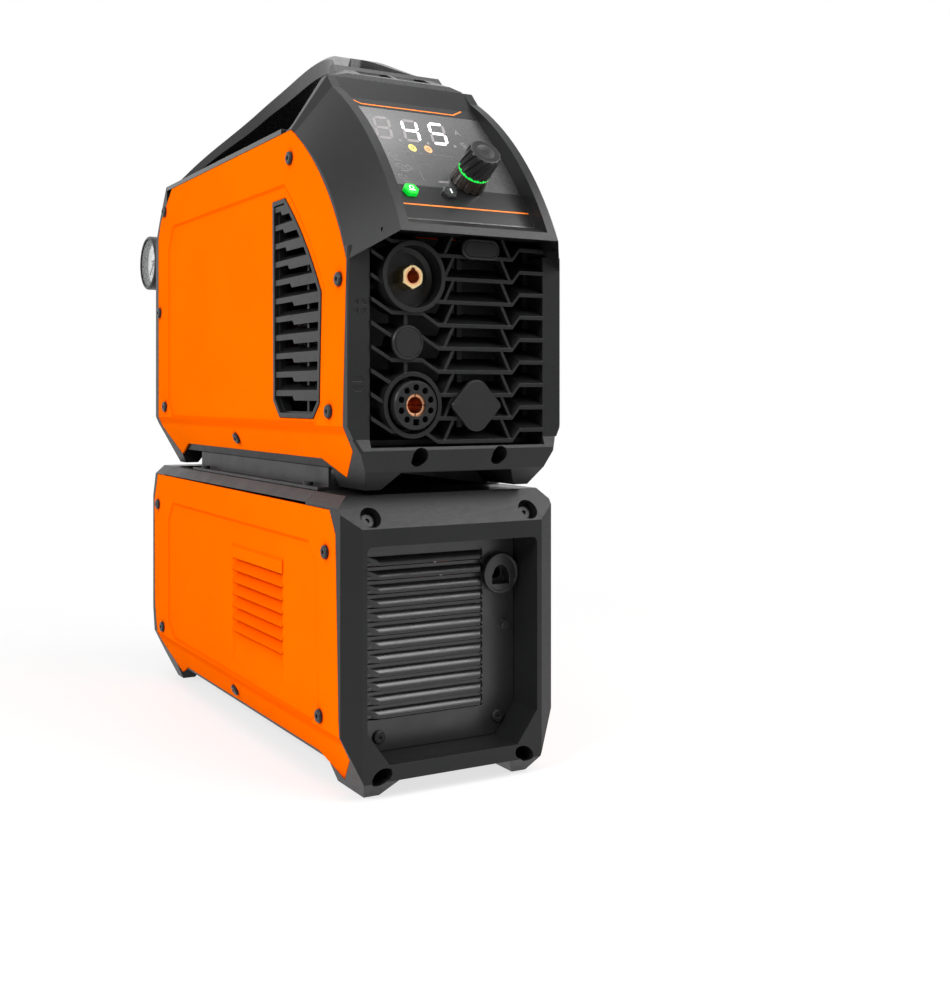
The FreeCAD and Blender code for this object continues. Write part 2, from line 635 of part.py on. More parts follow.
def display_board():
    """Circuit board behind the display with the digit module, encoder and two switches."""
    board = prism_z([(-42.0, -26.0), (42.0, -26.0), (42.0, 52.0), (-42.0, 52.0)], -1.6, 0.0)
    digits = [block((-36.0 + 24.0 * i, -14.0 + 24.0 * i), (26.0, 48.0), (-0.1, 3.2)) for i in range(3)]
    encoder = block((5.0, 19.0), (-7.0, 7.0), (-0.1, 4.2))
    bore = rod(knob_shaft_r + running_fit, (12.0, 0.0, -0.01), (0, 0, 1), 6.0)
    switches = []
    for x, z in button_at:
        row = (z - knob_at[1]) / lens_up.z
        switches.append(block((x - 3.0, x + 3.0), (row - 3.0, row + 3.0), (-0.1, 0.9)))
    shape = joined(board, digits + [encoder] + switches).cut(bore)
    turn = FreeCAD.Rotation(V(1, 0, 0), lens_up, lens_out, "ZXY")
    shape.Placement = FreeCAD.Placement(on_lens(0.0, knob_at[1]) - lens_out * 9.2, turn)
    return shape


# ---- power source: panels, vents, covers ---------------------------------------------------------
def vent_slats_solid():
    """Slats of one side vent, right-hand side, climbing inwards; their lower edges step up to the rear."""
    slats = []
    for i in range(vent_slats):
        z = vent_first + i * vent_pitch
        step = vent_step_y + 4.0 * max(0, i - 5)
        band = [(28.0, z), (step - 1.0, z), (step + 1.5, z + vent_step), (116.0, z + vent_step),
                (116.0, z + vent_slat_h), (28.0, z + vent_slat_h)]
        face = Part.Face(outline(band, lambda y, h: V(side_x - press_depth, y, h)))
        slats.append(face.extrude(V(-9.0, 0, 5.0)))
    return slats


def side_vent():
    """Black vent insert of the side panel: raised rim, inner flange and stepped slats."""
    x_face = side_x - 0.4
    rim = prism_x(vent_outline, x_face - 4.6, x_face)
    flange = grown_x(vent_outline, 2.2, x_face - 4.6, side_x - sheet - press_depth - seat)
    hole = grown_x(vent_outline, -vent_border, 50.0, side_x + 2.0)
    ring = rim.fuse(flange).cut(hole)
    inside = grown_x(vent_outline, -vent_border + 0.4, 60.0, side_x)
    slats = [s.common(inside) for s in vent_slats_solid()]
    slats = [s for s in slats if s.Volume > 1.0]
    stays = [s.common(inside) for s in (block((side_x - 9.5, side_x - 7.0), (66.0, 69.0), (40.0, 196.0)),)]
    backing = grown_x(vent_outline, -vent_border + 0.4, side_x - 9.6, side_x - 4.0)
    backing = backing.cut(grown_x(vent_outline, -vent_border - 1.2, side_x - 12.0, side_x))
    return ring.fuse(slats + stays + [backing]).removeSplitter()


def upper_side_panel():
    """Right-hand sheet metal panel of the power source with the vent opening."""
    body = side_sheet(upper_panel, upper_field, 240.0)
    return body.cut([grown_x(vent_outline, seat, 60.0, 90.0)] + screw_holes(upper_screws,
                                                                            screw_shank_r + 0.2))


def handle_section(y, half, top, thick):
    """Cross-section of the carry handle at one Y position."""
    steps = [(-half, top - 2.6), (-half * 0.8, top), (half * 0.8, top), (half, top - 2.6),
             (half - 2.4, top - thick), (-half + 2.4, top - thick)]
    return outline(steps, lambda x, z: V(x, y, z))


def carry_handle():
    """Top cover with the hourglass carry handle: two front arms, a narrow grip and a flared rear."""
    plate = block((-side_x, side_x), (cowl_rear + seat, rear_face - 32.0), (cover_z, cover_z + cover_thick))
    stations = [(73.0, 51.0, 277.5, 7.0), (84.0, 45.5, 282.5, 9.0), (103.0, 35.5, 292.0, 11.0),
                (124.0, 26.0, 302.5, 12.0), (142.0, 20.0, 310.0, 13.0), (160.0, 18.5, 313.0, 13.0),
                (rear_face - 176.0, 19.5, 310.0, 13.0), (rear_face - 140.0, 24.0, 301.5, 12.0),
                (rear_face - 110.0, 33.0, 289.5, 11.0), (rear_face - 84.0, 49.0, 273.0, 9.0),
                (rear_face - 62.0, 65.0, 256.0, 8.0), (rear_face - 42.0, 77.0, 241.0, 3.2)]
    strap = Part.makeLoft([handle_section(*s) for s in stations], True, False)
    gap = prism_z([(-4.0, 140.0), (4.0, 140.0), (27.5, 98.0), (-27.5, 98.0)], 240.0, 330.0)
    web = prism_x([(78.0 + seat, 273.4 + seat), (92.0, 288.0), (97.0, 285.0), (102.0, cover_z + 2.0),
                   (cowl_rear + seat, cover_z)], -43.0, 43.0)
    slots = [block((2.0, 28.0), (70.0, 104.0), (279.5, 284.0)),
             block((-28.0, -2.0), (70.0, 104.0), (279.5, 284.0))]
    cowl_room = prism_x([(50.0, 200.0), (50.0, lip_top[1] + seat), (78.0 + seat, lip_top[1] + seat),
                         (cowl_rear + seat, cover_z - 0.2), (cowl_rear + seat, 200.0)], -90.0, 90.0)
    body = strap.cut(gap).fuse([plate, web])
    return body.cut(slots + [cowl_room]).removeSplitter()


def rear_profile(y_out):
    """Side outline of the rear cover as (Y, height)."""
    return [(y_out - 31.5, cover_z + cover_thick), (y_out - 31.5, 14.0), (y_out - 30.0, 0.0),
            (y_out - 14.0, 0.0),
            (y_out - 5.0, 22.0), (y_out, 34.0), (y_out, 192.0), (y_out - 4.5, 202.0), (y_out - 13.0, 216.0),
            (y_out - 30.0, cover_z + cover_thick)]


def rear_cover():
    """Moulded rear of the power source with fan guard, switch cut-out and gland hole."""
    body = prism_x(rear_profile(rear_face), -side_x, side_x).common(hull(250.0, 300.0, rear_face + past))
    hollow = prism_x([(rear_face - 36.0, 228.0), (rear_face - 36.0, 14.0), (rear_face - 14.0, 16.0),
                      (rear_face - wall, 36.0), (rear_face - wall, 190.0), (rear_face - 12.0, 208.0),
                      (rear_face - 24.0, 228.0)],
                     -side_x + sheet + seat + wall, side_x - sheet - seat - wall)
    hollow = hollow.common(hull(250.0, 300.0, rear_face + past, side_x - sheet - seat - wall))
    x, z = fan_at
    behind = rear_face - 16.0
    wind = rod(fan_r, (x, behind, z), (0, 1, 0), 30.0)
    bars = [block((x - fan_r - 1.0, x + fan_r + 1.0), (rear_face - wall, rear_face),
                  (z + h - 1.2, z + h + 1.2))
            for h in range(-36, 37, 9)]
    hub = rod(fan_hub_r - 3.0, (x, rear_face - wall, z), (0, 1, 0), wall)
    spokes = [block((x - 1.5, x + 1.5), (rear_face - wall, rear_face), (z - fan_r - 1.0, z + fan_r + 1.0))]
    switch_hole = block((switch_at[0] - 11.3, switch_at[0] + 11.3), (behind, behind + 30.0),
                        (switch_at[1] - 15.3, switch_at[1] + 15.3))
    gland_hole = rod(8.2, (gland_at[0], behind, gland_at[1]), (0, 1, 0), 30.0)
    inlet_hole = rod(6.7, (regulator_x, behind, inlet_z), (0, 1, 0), 30.0)
    cuts = [hollow, wind, switch_hole, gland_hole, inlet_hole, feet_gap(11.0),
            panel_seat(upper_panel, 240.0)]
    cuts += both_ways(screw_holes(upper_screws, screw_shank_r + running_fit))
    return body.cut(cuts).fuse(bars + [hub] + spokes).removeSplitter()


def tray(y0, y1, screws):
    """Folded sheet metal base between the two side panels, its flanges leaning with their lower strips."""
    steps = [(-63.0, tray_z), (63.0, tray_z), (75.0, 38.6), (73.2, 38.6), (61.8, tray_z + sheet),
             (-61.8, tray_z + sheet), (-73.2, 38.6), (-75.0, 38.6)]
    return prism_y(steps, y0, y1).cut(both_ways(screw_holes(screws, screw_shank_r + running_fit)))


# ---- power source: inner works -------------------------------------------------------------------
def power_board():
    """Main inverter board with its rows of switching devices."""
    board = block((-60.0, 60.0), (70.0, rear_face - 46.0), (board_z, board_z + 2.0))
    devices = [block((-52.0, -47.0), (y, y + 15.0), (45.8, 66.0)) for y in range(150, 300, 24)]
    terminals = [block((-30.0, 30.0), (74.0, 84.0), (45.8, 58.0))]
    holes = [rod(2.0 + running_fit, (x, y, 40.0), (0, 0, 1), 10.0) for x, y in board_posts]
    return joined(board, devices + terminals).cut(holes)


def heat_sink():
    """Extruded finned heat sink standing on the board in the fan's air stream."""
    base = block((-46.6, -40.0), (140.0, 320.0), (47.0, 120.0))
    fins = [block((-40.1, -8.0), (140.0, 320.0), (50.0 + 9.0 * i, 52.4 + 9.0 * i)) for i in range(8)]
    return joined(base, fins)


def transformer():
    """Ferrite transformer: two E cores round a winding."""
    core = block((0.0, 52.0), (180.0, 236.0), (46.3, 92.0))
    windows = [block((-1.0, 53.0), (190.0, 202.0), (56.0, 82.0)),
               block((-1.0, 53.0), (214.0, 226.0), (56.0, 82.0))]
    winding = block((-5.0, 57.0), (192.0, 224.0), (58.0, 80.0)).cut(block((0.0, 52.0), (202.0, 214.0),
                                                                          (40.0, 98.0)))
    winding = winding.makeFillet(2.0, [e for e in winding.Edges if e.BoundBox.ZLength > 20.0])
    return joined(core.cut(windows), [winding])


def capacitors():
    """Bulk capacitors soldered on the board."""
    cans = []
    for x in (12.0, 44.0):
        for y in (112.0, 148.0):
            can = rod(14.5, (x, y, 46.3), (0, 0, 1), 48.0)
            cans.append(can.makeFillet(1.5, [e for e in can.Edges if e.BoundBox.ZMin > 90.0]))
    return Part.makeCompound(cans)


def solenoid_valve():
    """Air solenoid valve between the inlet and the torch socket."""
    body = block((-44.0, -20.0), (84.0, 112.0), (60.0, 80.0))
    coil = rod(11.0, (-32.0, 98.0, 79.5), (0, 0, 1), 26.0)
    nipples = rod(4.0, (-32.0, 70.0, 70.0), (0, 1, 0), 58.0)
    bracket = block((-44.0, -41.0), (84.0, 112.0), (board_z + 2.0 + seat, 61.0))
    foot = block((-44.0, -30.0), (84.0, 112.0), (board_z + 2.0 + seat, board_z + 6.0))
    return joined(body, [coil, nipples, bracket, foot])


def fan_frame():
    """Square axial fan frame with the motor held by three arms behind the guard."""
    x, z = fan_at
    y0 = rear_face - wall - seat - fan_depth
    frame = block((x - fan_half, x + fan_half), (y0, y0 + fan_depth), (z - fan_half, z + fan_half))
    frame = frame.makeFillet(5.0, [e for e in frame.Edges if e.BoundBox.YLength > 20.0])
    frame = frame.cut(rod(fan_r, (x, y0 - 1.0, z), (0, 1, 0), fan_depth + 2.0))
    corners = [(x + sx * 40.0, z + sz * 40.0) for sx in (-1, 1) for sz in (-1, 1)]
    frame = frame.cut([rod(2.2, (cx, y0 - 1.0, cz), (0, 1, 0), fan_depth + 2.0) for cx, cz in corners])
    arms = []
    for i in range(3):
        arm = block((0.0, fan_r + 2.0), (y0, y0 + 3.0), (-2.5, 2.5))
        arm.rotate(V(0, 0, 0), V(0, 1, 0), 90.0 + 120.0 * i)
        arm.translate(V(x, 0, z))
        arms.append(arm)
    motor = rod(fan_hub_r, (x, y0, z), (0, 1, 0), 3.0)
    pin = rod(2.0, (x, y0 + 2.0, z), (0, 1, 0), 16.0)
    return joined(frame, arms + [motor, pin])


def rotor(radius, hub_r, width, blades, bore_r, reach):
    """Axial fan wheel along +Y from the origin: hub, curved blades and bore."""
    hub = rod(hub_r, (0, 0, 0), (0, 1, 0), width)
    hub = hub.makeFillet(1.5, [e for e in hub.Edges if e.BoundBox.YMin > width - 0.1])
    vanes = []
    section = [(-reach, 1.0), (-0.2 * reach, 0.35 * width, reach, width - 1.0), (reach - 1.6, width - 1.0),
               (-0.2 * reach - 1.8, 0.35 * width, -reach - 1.6, 1.0)]
    face = Part.Face(outline(section, lambda a, y: V(a, y, hub_r - 3.0)))
    ring = rod(radius, (0, -1.0, 0), (0, 1, 0), width + 2.0)
    blade = face.extrude(V(0, 0, radius - hub_r + 6.0)).common(ring)
    for i in range(blades):
        vane = blade.copy()
        vane.rotate(V(0, 0, 0), V(0, 1, 0), 360.0 * i / blades)
        vanes.append(vane)
    wheel = hub.fuse(vanes)
    return wheel.cut(rod(bore_r, (0, -1.0, 0), (0, 1, 0), width - 3.0)).removeSplitter()


def fan_rotor():
    """Cooling fan wheel of the power source."""
    x, z = fan_at
    wheel = rotor(fan_r - fan_clear, fan_hub_r, fan_depth - 5.0, fan_blades, 2.0 + running_fit, 8.0)
    y0 = rear_face - wall - seat - fan_depth
    wheel.translate(V(x, y0 + 3.5, z))
    return wheel


# ---- power source: rear fittings -----------------------------------------------------------------
def power_switch():
    """Mains switch: bezel with body, and the rocker pivoting in it."""
    x, z = switch_at
    y = rear_face
    flange = block((x - 13.0, x + 13.0), (y + seat, y + 2.4), (z - 17.0, z + 17.0))
    flange = flange.makeFillet(1.0, [e for e in flange.Edges if e.BoundBox.YMin > y + 2.3])
    housing = block((x - 11.0, x + 11.0), (y - 24.0, y + 1.0), (z - 15.0, z + 15.0))
    pocket = block((x - 8.8, x + 8.8), (y - 10.0, y + 5.0), (z - 12.8, z + 12.8))
    pin = rod(1.5, (x - 10.0, y - 2.0, z), (1, 0, 0), 20.0)
    blades = [block((x - 3.0, x + 3.0), (y - 34.0, y - 23.9), (z + h - 0.5, z + h + 0.5)) for h in (-8.0,
                                                                                                    0.0,
                                                                                                    8.0)]
    body = joined(flange, [housing]).cut(pocket)
    body = joined(body, [pin] + blades)
    curve = [(y + 4.6, z - 11.6), (y + 2.2, z, y + 4.6, z + 11.6), (y - 4.6, z + 8.0),
             (y - 6.4, z, y - 4.6, z - 8.0)]
    rocker = prism_x(curve, x - 8.2, x + 8.2).cut(rod(1.5 + running_fit, (x - 10.0, y - 2.0, z), (1, 0, 0),
                                                      20.0))
    return body, rocker


def cable_gland():
    """Strain relief gland of the mains lead, with its lock nut inside."""
    x, z = gland_at
    y = rear_face
    nut = [(a + x, b + z) for a, b in polygon(6, 12.6, 30.0)]
    body = rod(8.0, (x, y - 12.0, z), (0, 1, 0), 34.0)
    collar = prism_y(nut, y + seat, y + 7.0)
    cap = revolved([(0.0, y + 7.0), (10.6, y + 7.0), (10.6, y + 14.0), (7.6, y + 22.5), (0.0, y + 22.5)],
                   gland_at)
    back = prism_y(nut, y - wall - seat - 5.0, y - wall - seat)
    bore = rod(4.6, (x, y - 13.0, z), (0, 1, 0), 40.0)
    return joined(body, [collar, cap, back]).cut(bore)


def regulator_body():
    """Filter regulator head with its inlet arm and mounting nipple into the rear cover."""
    y, z = gauge_at
    head = block((regulator_x - 17.0, regulator_x + 17.0), (y - 17.0, y + 17.0), (z - 27.0, z + 9.0))
    head = head.makeFillet(4.0, [e for e in head.Edges if e.BoundBox.ZLength > 30.0])
    neck = rod(13.0, (regulator_x, y, z + 8.9), (0, 0, 1), 12.0)
    skirt = rod(18.5, (regulator_x, y, z - 33.0), (0, 0, 1), 6.5)
    stem = rod(5.0, (regulator_x, y, z), (-1, 0, 0), gauge_stem_reach())
    pipe = rod(6.4, (regulator_x, rear_face - 14.0, inlet_z), (0, 1, 0), y - rear_face + 2.0)
    nut = prism_y([(a + regulator_x, b + inlet_z) for a, b in polygon(6, 10.5, 30.0)], rear_face + seat,
                  rear_face + 6.0)
    inlet = rod(9.0, (regulator_x + 12.0, y, z - 12.0), (1, 0, 0), 16.0)
    bore = rod(4.3, (regulator_x + 16.0, y, z - 12.0), (1, 0, 0), 13.0)
    return joined(head, [neck, skirt, stem, pipe, nut, inlet]).cut(bore)


def gauge_stem_reach():
    """Length of the gauge stem from the regulator's middle to the back of the gauge case."""
    return regulator_x - (gauge_x + 17.0)


def regulator_knob():
    """Pressure adjusting knob on top of the regulator, ribbed for grip."""
    y, z = gauge_at
    low = z + 9.0 + seat
    cap = tube(17.5, 13.0 + seat, (regulator_x, y, low), (0, 0, 1), 11.8)
    top = rod(17.5, (regulator_x, y, low + 11.8), (0, 0, 1), 13.0)
    cap = joined(cap, [top])
    cap = cap.makeFillet(2.0, [e for e in cap.Edges if e.BoundBox.ZMin > low + 20.0])
    ribs = [rod(1.0, (regulator_x + a, y + b, low - 1.0), (0, 0, 1), 22.0) for a, b in polygon(24, 17.9)]
    return cap.cut(ribs)


def filter_bowl():
    """Clear bowl under the regulator with its drain."""
    y, z = gauge_at
    top = z - 33.0 - seat
    profile = [(0.0, top), (bowl_r, top), (bowl_r, top - 34.0), (bowl_r - 6.0, top - 44.0),
               (4.0, top - 44.0),
               (4.0, top - 52.0), (0.0, top - 52.0)]
    wire = outline(profile, lambda r, h: V(regulator_x + r, y, h))
    solid = Part.Face(wire).revolve(V(regulator_x, y, 0), V(0, 0, 1), 360)
    inner = rod(bowl_r - 2.2, (regulator_x, y, top - 34.0), (0, 0, 1), 40.0)
    return solid.cut(inner)


def gauge_pieces():
    """Pressure gauge facing the left side: case, dial, needle on its pin and clear lens."""
    y, z = gauge_at
    back = gauge_x + 17.0
    case = rod(gauge_r, (back, y, z), (-1, 0, 0), back - gauge_x)
    case = case.makeFillet(2.0, [e for e in case.Edges if e.BoundBox.XMax < gauge_x + 0.1])
    case = case.cut(rod(gauge_dial_r + 1.2, (gauge_x + 9.0, y, z), (-1, 0, 0), 20.0))
    dial = rod(gauge_dial_r + 0.9, (gauge_x + 8.7, y, z), (-1, 0, 0), 1.2)
    ticks = []
    for i in range(11):
        tick = block((gauge_x + 7.2, gauge_x + 7.6), (y - 0.4, y + 0.4), (z + 15.0, z + 19.0))
        tick.rotate(V(0, y, z), V(1, 0, 0), -135.0 + 27.0 * i)
        ticks.append(tick)
    pin = rod(0.8, (gauge_x + 8.0, y, z), (-1, 0, 0), 4.2)
    dial = joined(dial, ticks + [pin])
    needle = block((gauge_x + 5.4, gauge_x + 6.2), (y - 0.6, y + 0.6), (z - 5.0, z + 14.0))
    hub = rod(2.6, (gauge_x + 6.4, y, z), (-1, 0, 0), 1.6)
    needle = joined(needle, [hub]).cut(rod(0.8 + running_fit, (gauge_x + 10.0, y, z), (-1, 0, 0), 12.0))
    needle.rotate(V(0, y, z), V(1, 0, 0), -135.0)
    lens = rod(gauge_dial_r + 0.9, (gauge_x + 3.0, y, z), (-1, 0, 0), 1.6)
    return case, dial, needle, lens


# ---- compressor module ---------------------------------------------------------------------------
def cover_slopes(y0, y1):
    """Outline of the compressor's top: flat in the middle, sloping down to the side panels."""
    shoulder = box_top - 7.2
    return prism_y([(-side_x, -1.0), (side_x, -1.0), (side_x, shoulder), (72.0, box_top), (-72.0, box_top),
                    (-side_x, shoulder)], y0, y1)


def lower_front_cowl():
    """Front moulding of the compressor with the slanted brow facet, deep recess and feet."""
    rear = lower_cowl_rear
    plan = [(-67.0, 0.0), (67.0, 0.0), (side_x, 6.0), (side_x, rear), (-side_x, rear), (-side_x, 6.0)]
    profile = [(0.0, brow_z), (0.0, 28.0), (-2.0, 22.0), (0.0, 11.0), (10.0, 0.0), (46.0, 0.0), (46.0, 41.0),
               (rear, 41.0), (rear, box_top), (13.0, box_top)]
    body = prism_z(plan, 0.0, box_top).common(prism_x(profile, -side_x, side_x))
    body = body.common(cover_slopes(-5.0, rear)).common(hull(box_top + 2.0, -20.0, rear + 5.0))
    low, high = recess_z
    opening = [(-recess_x, high - 4.0), (-recess_x + 1.2, high - 1.2, -recess_x + 4.0, high),
               (recess_x - 4.0, high), (recess_x - 1.2, high - 1.2, recess_x, high - 4.0), (recess_x, 42.0),
               (47.7, low), (-47.7, low), (-recess_x, 42.0)]
    cuts = [prism_y(opening, -5.0, recess_depth + seat), feet_gap(11.0),
            panel_seat(lower_panel, box_top + 2.0),
            block((-59.0, 59.0), (recess_depth, rear + 3.0), (38.0, high - 5.7))]
    slot = [(-7.0, -4.4), (-2.0, -5.6, 3.0, -3.0), (6.8, 0.2, 6.0, 4.2), (-1.6, 4.6, -7.4, -1.4)]
    pocket = rod(brow_pocket_r, brow_screw, brow_axis, brow_face + brow_pocket_depth)
    cuts += both_ways([pocket, rod(2.1, brow_screw, brow_axis, 40.0),
                       prism_y(shifted(slot, (-53.0, 14.5)), -10.0, 20.0),
                       grown_x(lower_field, 1.0, side_x - sheet - press_depth - seat, side_x)])
    cuts += [rod(2.0, (x, 0.0, z), (0, 1, 0), 44.0) for x, z in plate_screws]
    cuts += [rod(pad_r + running_fit, at, (0, 0, 1), pad_h + seat) for at in pad_places()]
    cuts += both_ways(screw_holes(lower_screws, screw_shank_r + running_fit))
    return body.cut(cuts).removeSplitter()


def louvre_blades(front):
    """Lips, scoops and slots of the front louvres."""
    left, right = blade_x
    lips = []
    openings = []
    plan = prism_z([(left, front + 1.4), (left + 9.0, front - blade_reach - 0.1),
                    (right - 3.4, front - blade_reach - 0.1), (right, front + 1.4)], 0.0, box_top)
    for i in range(blade_count):
        z = blade_low + i * blade_pitch
        curve = [(front + 1.4, z), (front + 1.4, z + blade_lip), (front + 0.6, z + blade_lip),
                 (front - 1.7, z + 0.6 * blade_lip, front - blade_reach, z + 0.4), (front - blade_reach, z)]
        lips.append(prism_x(curve, left, right).common(plan))
        high = z + blade_pitch - blade_gap
        scoop = [(left, z + 2.0), (right, z + 2.0), (right, z + blade_lip),
                 (right - 1.0, high - 1.0, right - 3.4, high),
                 (left, high)]
        openings.append(prism_y(scoop, front - 1.0, front + 1.2))
        openings.append(block((left, right), (front - 1.0, recess_depth + 1.0), (z - blade_gap, z)))
    return lips, openings


def louvre_panel():
    """Recessed front plate with its rows of lipped louvres, the outlet boss and a small stop."""
    front = recess_depth - plate_thick
    low, high = recess_z
    plate = prism_y([(-63.2, high - 4.3), (-59.2, high - 0.3), (59.2, high - 0.3), (63.2, high - 4.3),
                     (63.2, 42.0), (47.5, low + 0.3), (-47.5, low + 0.3), (-63.2, 42.0)], front,
                     recess_depth)
    lips, openings = louvre_blades(front)
    face = front - outlet_proud
    boss = revolved([(0.0, face + 1.0), (outlet_r - 1.8, face + 1.0), (outlet_r - 1.4, face),
                     (outlet_r - 0.4, face), (outlet_r, face + 0.4), (outlet_r, recess_depth),
                     (outlet_socket_r + 1.6, recess_depth), (outlet_socket_r + 1.6, outlet_seat_y + 14.0),
                     (0.0, outlet_seat_y + 14.0)], outlet_at)
    stop = rod(3.0, (54.6, front - 3.0, 94.8), (0, 1, 0), 4.0)
    keyhole = shifted([(-7.0, -7.2), (7.0, -7.2), (7.0, -0.5), (6.0, -0.5), (0.0, 5.5, -6.0, -0.5),
                       (-7.0, -0.5)],
                      outlet_at)
    socket = rod(outlet_socket_r, (outlet_at[0], outlet_seat_y, outlet_at[1]), (0, 1, 0), 20.0)
    fixing = [rod(1.9, (a, 0.0, b), (0, 1, 0), 50.0) for a, b in plate_screws]
    body = plate.cut(openings).fuse(lips + [boss, stop])
    return body.cut([prism_y(keyhole, face - 1.0, outlet_seat_y + 0.5), socket] + fixing).removeSplitter()


def outlet_bushing():
    """Air outlet bushing with its bore, held behind the keyhole of the louvre plate's boss."""
    x, z = outlet_at
    body = rod(outlet_socket_r - running_fit, (x, outlet_seat_y + seat, z), (0, 1, 0), 18.2)
    return body.cut(rod(outlet_hole_r, (x, outlet_seat_y, z), (0, 1, 0), 16.3))


def side_louvres():
    """Pressed louvres of the compressor's right-hand panel, like shingles: each starts deep under the lip
    above it and comes forward to its own lip. Returns the pressed metal and the opening it fills."""
    face = side_x - press_depth
    root = face - louvre_depth
    lip = face + louvre_lip
    y0, y1 = louvre_y
    end = y1 + louvre_taper
    levels = [louvre_first - louvre_pitch * i for i in range(louvre_rows)]
    rows = [[(face - sheet, louvre_rim), (face, louvre_rim), (lip, louvre_rim - 2.4), (lip, levels[0]),
             (lip - sheet, levels[0]), (lip - sheet, louvre_rim - 2.8)]]
    rows += [[(root - sheet, top), (root, top), (lip, top - louvre_pitch), (lip - sheet, top - louvre_pitch)]
             for top in levels[:-1]]
    rows.append([(root - sheet, levels[-1]), (root, levels[-1]), (face, louvre_end),
                 (face - sheet, louvre_end)])
    inside = prism_z([(root - 20.0, y1), (root, y1), (face, end), (face, end + 5.0),
                      (root - 20.0, end + 5.0)],
                     louvre_end - 5.0, louvre_rim + 5.0)
    metal = [prism_y(row, y0, end).cut(inside) for row in rows]
    metal.append(prism_z([(root - sheet, y1), (root, y1), (face, end), (face - sheet, end)], louvre_end,
                         louvre_rim))
    metal.append(block((root - sheet, face), (y0, y0 + 1.2), (louvre_end, louvre_rim)))
    opening = block((root - 10.0, lip + 5.0), (y0, end), (louvre_end, louvre_rim))
    return metal, opening


def lower_side_panel():
    """Right-hand sheet metal panel of the compressor with its pressed louvres."""
    metal, opening = side_louvres()
    body = side_sheet(lower_panel, lower_field, box_top + 2.0).cut(opening)
    return body.fuse(metal).cut(screw_holes(lower_screws, screw_shank_r + 0.2)).removeSplitter()


def lower_top_cover():
    """Top of the compressor: flat cover with raised side rails and locating pads."""
    rear = lower_rear - 32.0
    under = box_top - 7.0
    plate = cover_slopes(lower_cowl_rear + seat, rear).common(block((-90.0, 90.0), (0.0, rear),
                                                                    (under, box_top)))
    floor = [(-66.0, box_top), (-64.0, box_top - 2.3), (64.0, box_top - 2.3), (66.0, box_top)]
    ribs = [block((-60.0, 60.0), (y, y + 6.0), (under - 2.7, under + 0.3)) for y in (90.0, 180.0, 270.0)]
    holes = [rod(2.0, (bracket_screw_x[0], y, under - 5.0), (0, 0, 1), 20.0) for y in bracket_screw_y]
    return joined(plate.cut(prism_y(floor, 0.0, rear + 1.0)), ribs).cut(both_ways(holes))


def lower_rear_cover():
    """Rear of the compressor with ventilation slots and a hole for its cable."""
    joint_y = lower_rear - 32.0 + seat
    steps = [(joint_y, box_top), (joint_y, 14.0), (lower_rear - 30.0, 0.0), (lower_rear - 16.0, 0.0),
             (lower_rear - 8.0, 22.0), (lower_rear, 60.0), (lower_rear, box_top - 27.7),
             (lower_rear - 10.0, box_top)]
    span = (box_top + 2.0, 300.0, lower_rear + past)
    body = prism_x(steps, -side_x, side_x).common(hull(*span)).common(cover_slopes(300.0, lower_rear + past))
    hollow = prism_x([(lower_rear - 34.0, box_top - 5.7), (lower_rear - 34.0, 14.0),
                      (lower_rear - 17.0, 16.0),
                      (lower_rear - wall, 62.0), (lower_rear - wall, box_top - 29.7),
                      (lower_rear - 12.0, box_top - 5.7)],
                     -side_x + sheet + seat + wall, side_x - sheet - seat - wall)
    hollow = hollow.common(hull(*span, side_x - sheet - seat - wall))
    slots = [block((-46.0, 46.0), (lower_rear - 14.0, lower_rear + 6.0), (z, z + 4.0)) for z in range(70,
                                                                                                      150,
                                                                                                      9)]
    cable = rod(8.2, (0, lower_rear - 24.0, 44.0), (0, 1, 0), 30.0)
    cuts = [hollow, feet_gap(11.0), panel_seat(lower_panel, box_top + 2.0), cable]
    cuts += slots + both_ways(screw_holes(lower_screws, screw_shank_r + running_fit))
    cuts += [rod(pad_r + running_fit, at, (0, 0, 1), pad_h + seat) for at in pad_places()]
    body = body.cut(cuts)
    stays = [block((x - 1.5, x + 1.5), (lower_rear - wall, lower_rear), (64.0, 156.0)) for x in (-22.0,
                                                                                                 22.0)]
    return joined(body, stays)


def pad_places():
    """Undersides of the four rubber pads."""
    return [(x, y, 0.0) for x in (-56.0, 56.0) for y in (27.0, lower_rear - 23.0)]


def rubber_feet():
    """Soft pads under the compressor's four feet."""
    return Part.makeCompound([rod(pad_r, at, (0, 0, 1), pad_h) for at in pad_places()])


def compressor_motor():
    """Electric motor with end bells, terminal box and bored bearings."""
    x, z = motor_x, motor_z
    can = rod(36.0, (x, 186.0, z), (0, 1, 0), 84.0)
    bells = revolved([(0.0, 178.0), (26.0, 178.0), (34.5, 186.0), (34.5, 270.0), (26.0, 279.0),
                      (0.0, 279.0)],
                     (x, z))
    box = block((x - 16.0, x + 16.0), (205.0, 240.0), (z + 30.0, z + 50.0))
    bore = rod(shaft_r + running_fit, (x, 170.0, z), (0, 1, 0), 120.0)
    return joined(can, [bells, box]).cut(bore)


